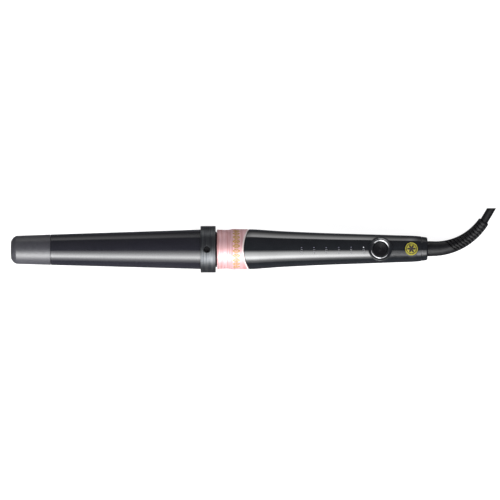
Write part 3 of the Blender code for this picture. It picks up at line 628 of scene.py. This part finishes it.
def add_lozenge(points, faces, x, angle, along, across, steps):
    """A lozenge frame on the sleeve, with its half sizes along the axis and round the sleeve."""
    profile = ((0.0, -0.06), (0.0, 0.1), (0.12, 0.17), (0.48, 0.17), (0.6, 0.1), (0.6, -0.06))
    start = len(points)
    for inset, height in profile:
        for i in range(steps):
            a = math.tau * i / steps
            reach = (abs(math.cos(a)) ** 1.25 + abs(math.sin(a)) ** 1.25) ** -0.8
            ahead = (along - 1.6 * inset) * reach * math.cos(a)
            turn = (across - inset) * reach * math.sin(a) / ORNAMENT_R
            points.append(on_sleeve(x + ahead, angle + turn, height))
    faces += band_faces(len(profile), steps, start, closed=True)


def add_boss(points, faces, x, angle, along, across, steps):
    """An oval bead on the sleeve, with its half sizes along the axis and round the sleeve."""
    levels = ((1.0, -0.06), (1.0, 0.05), (0.8, 0.13), (0.45, 0.17))
    start = len(points)
    for share, height in levels:
        for i in range(steps):
            a = math.tau * i / steps
            turn = across * share * math.sin(a) / ORNAMENT_R
            points.append(on_sleeve(x + along * share * math.cos(a), angle + turn, height))
    faces += capped_faces(len(levels), steps, start)


# -------------------------------- handle


def shell_half(name, middle, stands_for):
    """Half of the handle: its outside follows the handle's line from the curved front edge to the tail."""
    wall, front = 1.8, HANDLE_X0
    rows = [(front, 1, 1.2), (front, 1, 0.28), (front + 0.07, 1, 0.09), (front + 0.28, 1, 0.0)]
    for x in stations(front + 0.9, 50.0, 0.9):
        rows.append((x, max(0.0, 1 - (x - front - 0.28) / 16.0), 0.0))
    rows += [(x, 0, 0.0) for x in stations(51.5, 172.4, 1.8)]
    rows += [(172.62, 0, 0.04), (172.72, 0, 0.15), (172.72, 0, 1.7)]
    rows += [(x, 0, wall) for x in stations(165.0, 50.0, 9.0)] + [(38.0, 0, wall)]
    steps = 96
    points = []
    for x, share, depth in rows:
        nominal = handle_radius(x) - depth
        quarter = math.pi / 2 - math.asin(0.06 / nominal)
        for i in range(steps + 1):
            angle = middle + quarter * (2 * i / steps - 1)
            along = x + share * scallop(angle)
            radius = handle_radius(along) - depth
            points.append((along, radius * math.sin(angle), radius * math.cos(angle)))
    width, count = steps + 1, len(rows)
    faces = band_faces(count, width, closed=True, around=False)
    faces += [[a * width for a in range(count)], [a * width + steps for a in reversed(range(count))]]
    return piece(name, points, faces, "handle_lacquer", stands_for=stands_for, slot="handle")


def build_handle():
    upper = shell_half("handle_shell_upper", 0.0, ["handle_upper"])
    lower = shell_half("handle_shell_lower", math.pi, ["handle_lower"])
    cuts = [cylinder(3.1, 20, 9.75, 96, "Z", (BUTTON_X, 0, 0))]
    cuts.append(cylinder(9.05, 20, 5.35, 72, "Z", (BADGE_X, 0, 0)))
    cuts += [cylinder(6, 20, 0.56, 24, "Z", (x, LAMP_Y, 0)) for x in LAMP_XS]
    carve(upper, cuts)
    polish(upper, handle_radius)
    carve(lower, [cylinder(-20, 2.3 - handle_radius(x), 2.4, 48, "Z", (x, 0, 0)) for x in SHELL_SCREW_XS])
    polish(lower, handle_radius)
    for i, x in enumerate(SHELL_SCREW_XS, start=1):
        build_shell_screw(i, x, 0.9 - handle_radius(x))


def build_shell_screw(index, x, top):
    """Pan-head screw with a cross recess, seen from below."""
    line = filleted([
        (top + 8, 0), (top + 8, 0.6), (top + 1.35, 0.7), (top + 1.35, 2.1, 0.2), (top + 0.35, 2.1, 0.3),
        (top, 1.4, 0.8), (top, 0),
    ], 5)
    screw = lathe(
        f"shell_screw_head_{index}", line, "blackened_steel", 40, "Z", (x, 0, 0),
        stands_for=[f"shell_screw_{index}"], slot="black_steel",
    )
    cuts = []
    for long, short in ((1.25, 0.28), (0.28, 1.25)):
        low, high = (x - long, -short, top - 1), (x + long, short, top + 0.75)
        cuts.append(cutter(*box_mesh(low, high)))
    carve(screw, cuts)


def box_mesh(low, high):
    points = [(x, y, z) for x in (low[0], high[0]) for y in (low[1], high[1]) for z in (low[2], high[2])]
    return points, [(0, 1, 3, 2), (4, 6, 7, 5), (0, 4, 5, 1), (2, 3, 7, 6), (0, 2, 6, 4), (1, 5, 7, 3)]


def build_tail_cap():
    line = filleted([
        (168.9, 6.6), (168.9, 7.8), (172.95, 7.8), (172.95, 9.83, 0.22), (TAIL_X - 0.75, 9.3, 0.7),
        (TAIL_X, 8.6, 0.5), (TAIL_X, 6.55, 0.25), (168.9, 6.6),
    ], 5)[:-1]
    lathe("tail_ring", line, "handle_lacquer", steps=144, stands_for=["tail_cap"], slot="handle")


# -------------------------------- button, lamps and badge


def build_button():
    surround = filleted([
        (3.5, 7.75), (3.5, 9.65), (11.4, 9.65), (12.1, 9.5, 0.55), (12.12, 8.7, 0.3), (11.95, 7.75),
        (3.5, 7.75),
    ], 5)[:-1]
    centre = (BUTTON_X, 0, 0)
    lathe(
        "button_surround_ring", surround, "handle_lacquer", 128, "Z", centre,
        stands_for=["button_surround"], slot="handle",
    )
    bezel = filleted([
        (8.2, 6.36), (8.2, 7.7), (12.04, 7.7, 0.08), (12.27, 7.16, 0.12), (11.9, 6.36, 0.1), (8.2, 6.36),
    ], 6)[:-1]
    lathe("button_bezel_ring", bezel, "chrome", 160, "Z", centre, stands_for=["button_bezel"], slot="chrome")
    cap = filleted([  # a stem, a groove that clears the spring when the cap is down, a skirt and the top
        (7.4, 0), (7.4, 1.7), (10.4, 1.7), (10.4, 2.15), (10.95, 2.15), (10.95, 3.05), (10.4, 3.05),
        (10.4, 5.0), (9.0, 5.0), (9.0, 6.1), (11.5, 6.1), (11.75, 5.95, 0.2), (11.8, 5.4, 0.2),
    ], 5)
    count, rim, dish = 90, 5.4, 0.35
    for i in range(count - 1):
        r = rim * (1 - i / count)
        ripple = 0.05 * (0.5 + 0.5 * math.cos(math.tau * r / 0.9)) if 0.6 < r < 5.1 else 0.0
        cap.append((11.8 - dish * (1 - (r / rim) ** 2) - ripple, r))
    cap.append((11.8 - dish, 0))
    lathe(
        "button_face", cap, "button_soft", 128, "Z", centre,
        body="button", stands_for=["button_cap"], slot="soft_rubber",
    )


def build_lamps():
    for i, x in enumerate(LAMP_XS, start=1):
        crown = math.sqrt(handle_radius(x) ** 2 - LAMP_Y**2)
        line = filleted([(6.5, 0), (6.5, 0.5), (crown - 0.1, 0.5, 0.12), (crown + 0.02, 0)], 4)
        material = "lamp_lit" if i == len(LAMP_XS) else "lamp_lens"
        lathe(
            f"lamp_dome_{i}", line, material, 24, "Z", (x, LAMP_Y, 0),
            stands_for=[f"lamp_lens_{i}"], slot="clear_plastic",
        )
        build_number(i, x, str(FIRST_TEMPERATURE + TEMPERATURE_STEP * (i - 1)))


def build_number(index, x, text):
    """A printed temperature number that reads along the handle's girth, laid on its surface."""
    curve = bpy.data.curves.new(f"number_{index}", "FONT")
    curve.body, curve.size, curve.align_x, curve.align_y = text, 2.25, "LEFT", "CENTER"
    curve.resolution_u = 3
    source = bpy.data.objects.new(f"number_{index}_source", curve)
    bpy.context.scene.collection.objects.link(source)
    graph = bpy.context.evaluated_depsgraph_get()
    flat = bpy.data.meshes.new_from_object(source.evaluated_get(graph))
    bpy.data.objects.remove(source)
    work = bmesh.new()
    work.from_mesh(flat)
    bmesh.ops.remove_doubles(work, verts=work.verts, dist=1e-4)
    work.verts.index_update()
    size, width = len(work.verts), max(v.co.x for v in work.verts)
    points, faces = [], []
    for lift in (-0.02, 0.035):
        for v in work.verts:
            along, down = x + v.co.y, 0.25 - v.co.x * (4.3 / width)
            radius = handle_radius(along) + lift
            turn = down / radius
            points.append((along, radius * math.sin(turn), radius * math.cos(turn)))
    for face in work.faces:
        ring = [v.index for v in face.verts]
        faces += [ring[::-1], [size + k for k in ring]]
    for a, b in ([v.index for v in edge.verts] for edge in work.edges if edge.is_boundary):
        faces.append([a, b, size + b, size + a])
    work.free()
    bpy.data.meshes.remove(flat)
    piece(f"number_{index}", points, faces, "scale_print", sharp=50)


def build_badge():
    """A gold disc with a dark ring groove and a plain rosette of six oval petals."""
    centre = (BADGE_X, 0, 0)
    under, top = 9.35, 10.4
    line = filleted([
        (under, 0), (under, 5.2), (top - 0.5, 5.2, 0.12), (top, 4.9, 0.2), (top, 4.4, 0.08),
        (top - 0.3, 4.25, 0.06), (top - 0.3, 3.75, 0.06), (top - 0.08, 3.6, 0.08), (top - 0.02, 2.0),
        (top - 0.02, 0),
    ], 4)
    lathe("badge_disc", line, "badge_gold", 96, "Z", centre, stands_for=["badge"], slot="badge")
    groove_line = [(top - 0.34, 3.72), (top - 0.34, 4.28), (top - 0.2, 4.28), (top - 0.2, 3.72)]
    lathe("badge_groove", groove_line, "badge_ink", 96, "Z", centre)
    points, faces = [], []
    low, high = top - 0.1, top + 0.03
    add_disc(points, faces, (BADGE_X, 0), (0.85, 0.85), 0.0, low, high, 32)
    for k in range(6):
        a = math.tau * k / 6
        at = (BADGE_X + 2.0 * math.cos(a), 2.0 * math.sin(a))
        add_disc(points, faces, at, (1.4, 0.78), a, low, high, 28)
    piece("badge_rosette", points, faces, "badge_ink", sharp=40)


def add_disc(points, faces, at, radii, turn, low, high, steps):
    """A thin oval disc with a softened edge. turn is the direction of its first radius."""
    start = len(points)
    for z, inset in ((low, 0.0), (high - 0.03, 0.0), (high, 0.05)):
        for i in range(steps):
            a = math.tau * i / steps
            u, v = (radii[0] - inset) * math.cos(a), (radii[1] - inset) * math.sin(a)
            x = at[0] + u * math.cos(turn) - v * math.sin(turn)
            points.append((x, at[1] + u * math.sin(turn) + v * math.cos(turn), z))
    faces += capped_faces(3, steps, start)


# -------------------------------- boot and cord


def cord_point(distance):
    """Centre line of the cord, from the tail's face, with distance measured roughly along it."""
    straight = BEND_X - TAIL_X
    arc = BEND_RADIUS * BEND_ANGLE
    if distance < straight:
        return Vector((TAIL_X + distance, 0, 0))
    share = (distance - straight) / arc
    if share <= 1:
        a = BEND_ANGLE * share
        x, y = BEND_X + BEND_RADIUS * math.sin(a), BEND_RADIUS * (1 - math.cos(a))
        return Vector((x, y, BEND_LIFT * share**2))
    ahead = Vector((math.cos(BEND_ANGLE), math.sin(BEND_ANGLE), 2 * BEND_LIFT / arc))
    return cord_point(straight + arc) + ahead * (distance - straight - arc)


def cord_frame(distance):
    """Point, direction ahead, direction of +Y side, and direction out of the button's side."""
    here = cord_point(distance)
    ahead = (cord_point(distance + 0.05) - cord_point(distance - 0.05)).normalized()
    out = (Vector((0, 0, 1)) - ahead * ahead.z).normalized()
    return here, ahead, out.cross(ahead), out


SLOT_COUNT, SLOT_FIRST, SLOT_PITCH = 12, 20.0, 2.8


def slot_depth(distance, angle, radius):
    """Depth of the boot's relief slots here: slanting ones near the handle, square ones near the end."""
    face = abs(math.cos(angle))
    edge = min(1.0, max(0.0, (face - 0.38) / 0.16))
    if edge <= 0:
        return 0.0
    across = radius * math.sin(angle)
    shift = 0.0 if math.cos(angle) > 0 else SLOT_PITCH / 2
    full = min(1.5, radius - CORD_R - 0.5)
    depth = 0.0
    for k in range(SLOT_COUNT):
        slant = math.tan(math.radians(34.0 * (1 - k / (SLOT_COUNT - 1)) ** 1.2))
        off = abs(distance - (SLOT_FIRST + SLOT_PITCH * k + shift - across * slant))
        depth = max(depth, min(1.0, max(0.0, (0.82 - off) / 0.22)))
    return full * depth * edge


def build_boot():
    steps, spacing = 112, 0.17
    points = []
    distances = [-9.0, -1.0] + stations(0.0, BOOT_LENGTH - 0.5, spacing)
    rings = []
    for distance in distances:
        share = max(0.0, distance) / BOOT_LENGTH
        rings.append((distance, BOOT_R0 + (BOOT_R1 - BOOT_R0) * share, True))
    rings += [(BOOT_LENGTH - 0.25, BOOT_R1 - 0.06, False), (BOOT_LENGTH - 0.08, BOOT_R1 - 0.2, False)]
    rings += [(BOOT_LENGTH, BOOT_R1 - 0.45, False), (BOOT_LENGTH, CORD_R + 0.12, False)]
    rings += [(distance, CORD_R + 0.1, False) for distance in stations(BOOT_LENGTH - 1.5, -9.0, 1.5)]
    for distance, radius, slotted in rings:
        here, _, side, out = cord_frame(distance)
        for i in range(steps):
            angle = math.tau * i / steps
            r = radius - (slot_depth(distance, angle, radius) if slotted else 0.0)
            r -= 0.06 * math.exp(-((distance - 0.6) ** 2) / 0.15) if slotted else 0.0
            points.append(here + side * r * math.sin(angle) + out * r * math.cos(angle))
    faces = band_faces(len(rings), steps, closed=True)
    piece(
        "boot_sleeve", points, faces, "boot_rubber", body="swivel", stands_for=["cord_boot"],
        slot="soft_rubber", sharp=50,
    )


def build_cord():
    steps = 48
    last = cord_end_distance()
    distances = stations(-6.0, last - 2.4, 1.2) + [last]
    points = []
    for n, distance in enumerate(distances):
        here, ahead, side, out = cord_frame(distance)
        for i in range(steps):
            angle = math.tau * i / steps
            point = here + side * CORD_R * math.sin(angle) + out * CORD_R * math.cos(angle)
            if n == len(distances) - 1:
                point += ahead * (CORD_END_Y - point.y) / ahead.y
            points.append(point)
    faces = capped_faces(len(distances), steps)
    piece("cord_sheath", points, faces, "cord_sheath", body="swivel", stands_for=["cord"], slot="soft_rubber")
    build_cord_end(last)


def cord_end_distance():
    """Distance at which the cord's centre line reaches the flat cut."""
    low, high = 40.0, 90.0
    for _ in range(40):
        middle = (low + high) / 2
        low, high = (middle, high) if cord_point(middle).y < CORD_END_Y else (low, middle)
    return low


def build_cord_end(last):
    """Two insulated copper cores that show in the flat cut."""
    here, ahead, side, out = cord_frame(last)
    steps = 24
    cores = (("core", 1.05, "ceramic", 0.004), ("wire", 0.62, "copper", 0.0))
    for name, offset in (("live", 1.25), ("neutral", -1.25)):
        for part, radius, material, recess in cores:
            points = []
            for level in (-1.5, 0.0):
                for i in range(steps):
                    angle = math.tau * i / steps
                    point = here + side * radius * math.sin(angle) + out * (offset + radius * math.cos(angle))
                    target = CORD_END_Y + level - recess
                    point += ahead * (target - point.y) / ahead.y
                    points.append(point)
            piece(f"cord_{part}_{name}", points, capped_faces(2, steps), material, body="swivel")


# -------------------------------- stand

PIN_Z = -23.6
LEG_LENGTH, LEG_LEAN = 21.0, math.radians(35.0)
LEG_DROP, LEG_REACH = LEG_LENGTH * math.cos(LEG_LEAN), LEG_LENGTH * math.sin(LEG_LEAN)
TILT = math.asin(-AXIS.z)


def plate(outline, to_point, half):
    """A closed plate from a filleted outline of (u, v, fillet). to_point turns (u, v, w) into millimetres."""
    ring = filleted([outline[-1], *outline, outline[0]], 6)[1:-1]
    points = [to_point(u, v, w) for w in (-half, half) for u, v in ring]
    return points, capped_faces(2, len(ring))


def build_bracket():
    """Saddle under the collar with two ears for the stand's pin."""
    saddle = [(-4.6, -20.9, 0.9), (4.6, -20.9, 0.9), (4.6, -16.5), (-4.6, -16.5)]
    points, faces = plate(saddle, lambda x, z, y: (x, y, z), 7.2)
    bracket = piece(
        "stand_saddle", points, faces, "blackened_steel", stands_for=["stand_bracket"], slot="black_steel",
    )
    ear = [(3.4, -20.0), (2.4, -24.6, 2.2), (1.0, -26.0, 1.2)]
    ear += [(-1.0, -26.0, 1.2), (-2.4, -24.6, 2.2), (-3.4, -20.0)]
    ears = []
    for side in (-1, 1):
        ears.append(cutter(*plate(ear, lambda x, z, y, side=side: (x, 5.8 * side + y, z), 0.8)))
    carve(bracket, ears, "UNION")
    x = COLLAR_SCREW_X
    counterbore = [(-22, 0), (-22, 2.5), (-19.7, 2.5), (-19.7, 1.3), (-14, 1.3), (-14, 0)]
    carve(bracket, [
        cylinder(-20, 20, 19.15, 160, "X"),
        cylinder(-20, 20, 1.22, 40, "Y", (0, 0, PIN_Z)),
        cutter(*spun(counterbore, 48, "Z", (x, 0, 0))),
    ])
    soften(bracket, 0.22)
    head = filleted([
        (-15.2, 0), (-15.2, 1.1), (-19.75, 1.1), (-19.75, 2.2, 0.15), (-20.75, 2.0, 0.45),
        (-20.75, 1.15, 0.08), (-19.95, 1.1), (-19.85, 0),
    ], 4)
    socket = hexagon(1.17, lambda along: -20.8 < along < -19.8)
    lathe(
        "stand_screw_head", head, "blackened_steel", 48, "Z", (x, 0, 0), socket,
        stands_for=["stand_screw"], slot="black_steel",
    )


def build_stand():
    """Leg, knuckle, heel and foot, drawn from the pin in axes that lie level with the foot on the table."""
    down = Vector((-math.sin(LEG_LEAN), 0, -math.cos(LEG_LEAN)))
    across = Vector((math.cos(LEG_LEAN), 0, -math.sin(LEG_LEAN)))

    def leg_point(y, s, t):
        return down * s + across * t + Vector((0, y, 0))

    end = LEG_LENGTH - 1.1
    leg = [
        (-4.6, 0.0), (-4.6, 3.5, 3.0), (-13.2, 13.0, 4.0), (-13.2, end), (13.2, end), (13.2, 13.0, 4.0),
        (4.6, 3.5, 3.0), (4.6, 0.0),
    ]
    window = [
        (-5.4, 8.0, 1.2), (-9.0, 12.4, 1.2), (-9.0, 15.4, 1.0), (9.0, 15.4, 1.0), (9.0, 12.4, 1.2),
        (5.4, 8.0, 1.2),
    ]
    points, faces = plate(leg, leg_point, 1.3)
    stand = piece(
        "stand_leg_body", points, faces, "black_resin", body="stand_leg", stands_for=["stand"],
        slot="black_resin", place=STAND,
    )
    turn = Matrix.Rotation(TILT, 3, "Y")
    heel = [(-3.6, -0.9, 0.4), (-3.6, 2.2, 0.5), (0.4, 2.2, 0.5), (0.4, -0.9, 0.3)]
    sole, top = -LEG_DROP, 2.8 - LEG_DROP
    foot = [(-4.5, sole, 1.0), (4.5, sole, 1.0), (4.5, top, 1.0), (-4.5, top, 1.0)]
    joined = [
        cylinder(-4.6, 4.6, 2.2, 64, "Y", place=STAND),
        cutter(*plate(heel, lambda x, z, y: turn @ Vector((x, y, z)), 4.1), place=STAND),
        cutter(*plate(foot, lambda x, z, y: (x - LEG_REACH, y, z), 15.0), place=STAND),
    ]
    carve(stand, joined, "UNION")
    carve(stand, [
        cutter(*plate(window, leg_point, 3.0), place=STAND),
        cylinder(-20, 20, 1.25, 40, "Y", place=STAND),
    ])
    soften(stand, 0.3)
    pin = filleted([
        (-7.95, 0), (-7.95, 1.75, 0.35), (-7.05, 2.0, 0.15), (-7.05, 1.1), (7.05, 1.1), (7.05, 1.75, 0.15),
        (7.85, 1.6, 0.4), (7.85, 0),
    ], 5)
    lathe(
        "stand_pin_body", pin, "bright_steel", 40, "Y",
        body="stand_leg", stands_for=["stand_pin"], slot="steel", place=STAND,
    )


build_tip()
build_barrel()
build_collar()
build_neck()
build_sleeve()
build_handle()
build_tail_cap()
build_button()
build_lamps()
build_badge()
build_boot()
build_cord()
build_bracket()
build_stand()

# -------------------------------- looks of the CAD nodes that stay

SLOT_LOOKS = {
    "cool_tip": "tip_nylon", "barrel": "barrel_lacquer", "collar": "collar_brushed", "rose_gold": "rose_gold",
    "handle": "handle_lacquer", "chrome": "chrome", "badge": "badge_gold", "soft_rubber": "boot_rubber",
    "aluminium": "aluminium", "ceramic": "ceramic", "steel": "bright_steel", "black_steel": "blackened_steel",
    "brass": "brass", "board": "board", "component": "component", "clear_plastic": "lamp_lens",
    "wire_red": "wire_red", "wire_blue": "wire_blue", "black_resin": "black_resin",
}
for part in frame["record"]["subparts"]:
    node = frame["nodes"][part["node"]]
    if not node.hide_render:
        for held in node.material_slots:
            held.material = MATERIALS[SLOT_LOOKS[part["material_slot"]]].material

# -------------------------------- floor, light and camera


def build_floor():
    mesh = bpy.data.meshes.new("floor")
    half = 4.0
    corners = [(-half, -half, 0), (half, -half, 0), (half, half, 0), (-half, half, 0)]
    mesh.from_pydata(corners, [], [(0, 1, 2, 3)])
    floor = bpy.data.objects.new("floor", mesh)
    bpy.context.scene.collection.objects.link(floor)
    floor.location.z = -0.0005
    look = bpy.data.materials.new("floor_paper")
    look.use_nodes = True
    shader = look.node_tree.nodes["Principled BSDF"]
    shader.inputs["Base Color"].default_value = (0.3, 0.3, 0.3, 1)
    shader.inputs["Roughness"].default_value = 0.9
    shader.inputs["Specular IOR Level"].default_value = 0.0
    shader.inputs["Emission Color"].default_value = (1, 1, 1, 1)
    shader.inputs["Emission Strength"].default_value = 0.95
    mesh.materials.append(look)
    floor.visible_glossy = False


def light_card(name, radius, angle_stops, x_stops, side, strength):
    """A curved, softly graded light panel round the wand's axis. side is -1 or +1, the way it lies along Y.

    angle_stops are (degrees from +Z, brightness) and x_stops are (mm, brightness).
    """
    steps, columns = 60, 40
    first, last = angle_stops[0][0], angle_stops[-1][0]
    x0, x1 = x_stops[0][0], x_stops[-1][0]
    points = []
    mesh = bpy.data.meshes.new(name)
    for i in range(steps + 1):
        angle = math.radians(first + (last - first) * i / steps)
        for j in range(columns + 1):
            x = x0 + (x1 - x0) * j / columns
            points.append((x * MM, side * radius * MM * math.sin(angle), radius * MM * math.cos(angle)))
    width = columns + 1
    mesh.from_pydata(points, [], band_faces(steps + 1, width, around=False))
    uv = mesh.uv_layers.new(name="card")
    for loop in mesh.loops:
        row, column = divmod(loop.vertex_index, width)
        uv.data[loop.index].uv = (column / columns, row / steps)
    look = bpy.data.materials.new(name)
    look.use_nodes = True
    nodes, links = look.node_tree.nodes, look.node_tree.links
    nodes.clear()
    out = nodes.new("ShaderNodeOutputMaterial")
    emit = nodes.new("ShaderNodeEmission")
    uv_node = nodes.new("ShaderNodeUVMap")
    split = nodes.new("ShaderNodeSeparateXYZ")
    links.new(uv_node.outputs["UV"], split.inputs["Vector"])
    total = nodes.new("ShaderNodeMath")
    total.operation = "MULTIPLY"
    for k, (axis, stops) in enumerate((("X", x_stops), ("Y", angle_stops))):
        curve = nodes.new("ShaderNodeFloatCurve")
        line = curve.mapping.curves[0]
        for _ in range(len(stops) - 2):
            line.points.new(0.5, 0.5)
        low, high = stops[0][0], stops[-1][0]
        places = [((at - low) / (high - low), value) for at, value in stops]
        for point, place in zip(line.points, places):
            point.location = place
            point.handle_type = "VECTOR"
        curve.mapping.update()
        links.new(split.outputs[axis], curve.inputs["Value"])
        links.new(curve.outputs["Value"], total.inputs[k])
    scaled = nodes.new("ShaderNodeMath")
    scaled.operation = "MULTIPLY"
    scaled.inputs[1].default_value = strength
    links.new(total.outputs[0], scaled.inputs[0])
    links.new(scaled.outputs[0], emit.inputs["Strength"])
    links.new(emit.outputs[0], out.inputs["Surface"])
    mesh.materials.append(look)
    card = bpy.data.objects.new(name, mesh)
    bpy.context.scene.collection.objects.link(card)
    card.matrix_world = WAND
    card.visible_camera = False
    card.visible_shadow = False


def build_lights():
    """A large graded panel on the near side, a slim one on the far side, and a dim room."""
    barrel = [
        (6, 0.0), (8, 0.05), (12, 0.10), (18, 0.17), (24, 0.26), (30, 0.39), (37, 0.55), (43, 0.74),
        (47, 0.84), (53, 0.82), (58, 0.58), (64, 0.32), (72, 0.15), (80, 0.09), (86, 0.05),
    ]
    light_card("panel_barrel", 620, barrel, [(-500, 1.0), (-220, 1.0), (-120, 0.9), (20, 0.9)], -1, 11.0)
    handle = [
        (6, 0.0), (8, 0.04), (13, 0.13), (18, 0.32), (24, 0.47), (30, 0.58), (36, 0.66), (42, 0.85),
        (46, 1.0), (55, 1.0), (60, 0.66), (65, 0.38), (70, 0.2), (76, 0.11), (86, 0.05),
    ]
    handle_x = [
        (20, 1.0), (110, 1.0), (188, 0.76), (202, 0.14), (214, 0.1), (228, 0.42), (242, 0.3), (268, 0.14),
        (282, 0.3), (560, 0.3),
    ]
    light_card("panel_handle", 620, handle, handle_x, -1, 11.0)
    far = [(73, 0.0), (75, 0.85), (84, 1.0), (94, 0.62), (104, 0.32), (114, 0.14), (122, 0.06)]
    far_x = [
        (-500, 0.33), (-110, 0.32), (-30, 0.18), (15, 0.18), (50, 1.0), (172, 1.0), (195, 0.5), (222, 0.72),
        (250, 0.36), (280, 0.2), (560, 0.2),
    ]
    light_card("panel_far", 620, far, far_x, 1, 2.8)
    world = bpy.data.worlds.new("room")
    bpy.context.scene.world = world
    world.use_nodes = True
    nodes, links = world.node_tree.nodes, world.node_tree.links
    nodes.clear()
    out = nodes.new("ShaderNodeOutputWorld")
    mix = nodes.new("ShaderNodeMixShader")
    path = nodes.new("ShaderNodeLightPath")
    room, pale = nodes.new("ShaderNodeBackground"), nodes.new("ShaderNodeBackground")
    room.inputs["Color"].default_value = (0.24, 0.24, 0.27, 1)
    room.inputs["Strength"].default_value = 0.5
    pale.inputs["Color"].default_value = (0.97, 0.97, 0.97, 1)
    links.new(path.outputs["Is Camera Ray"], mix.inputs[0])
    links.new(room.outputs[0], mix.inputs[1])
    links.new(pale.outputs[0], mix.inputs[2])
    links.new(mix.outputs[0], out.inputs["Surface"])


def build_camera():
    """Square to the button's face, far enough back to flatten the wand as the photograph does."""
    distance, width, roll = 3500.0, 405.0, math.radians(-0.15)
    centre = Vector((33.9, -0.65, 0.0))
    data = bpy.data.cameras.new("camera")
    data.sensor_width = 36.0
    data.lens = data.sensor_width * distance / width
    data.clip_start, data.clip_end = 0.05, 20.0
    camera = bpy.data.objects.new("camera", data)
    bpy.context.scene.collection.objects.link(camera)
    place = Matrix.Translation((centre + Vector((0, 0, distance))) * MM)
    camera.matrix_world = WAND @ place @ Matrix.Rotation(roll, 4, "Z")
    bpy.context.scene.camera = camera


build_floor()
build_lights()
build_camera()
bpy.context.scene.view_settings.view_transform = "Standard"
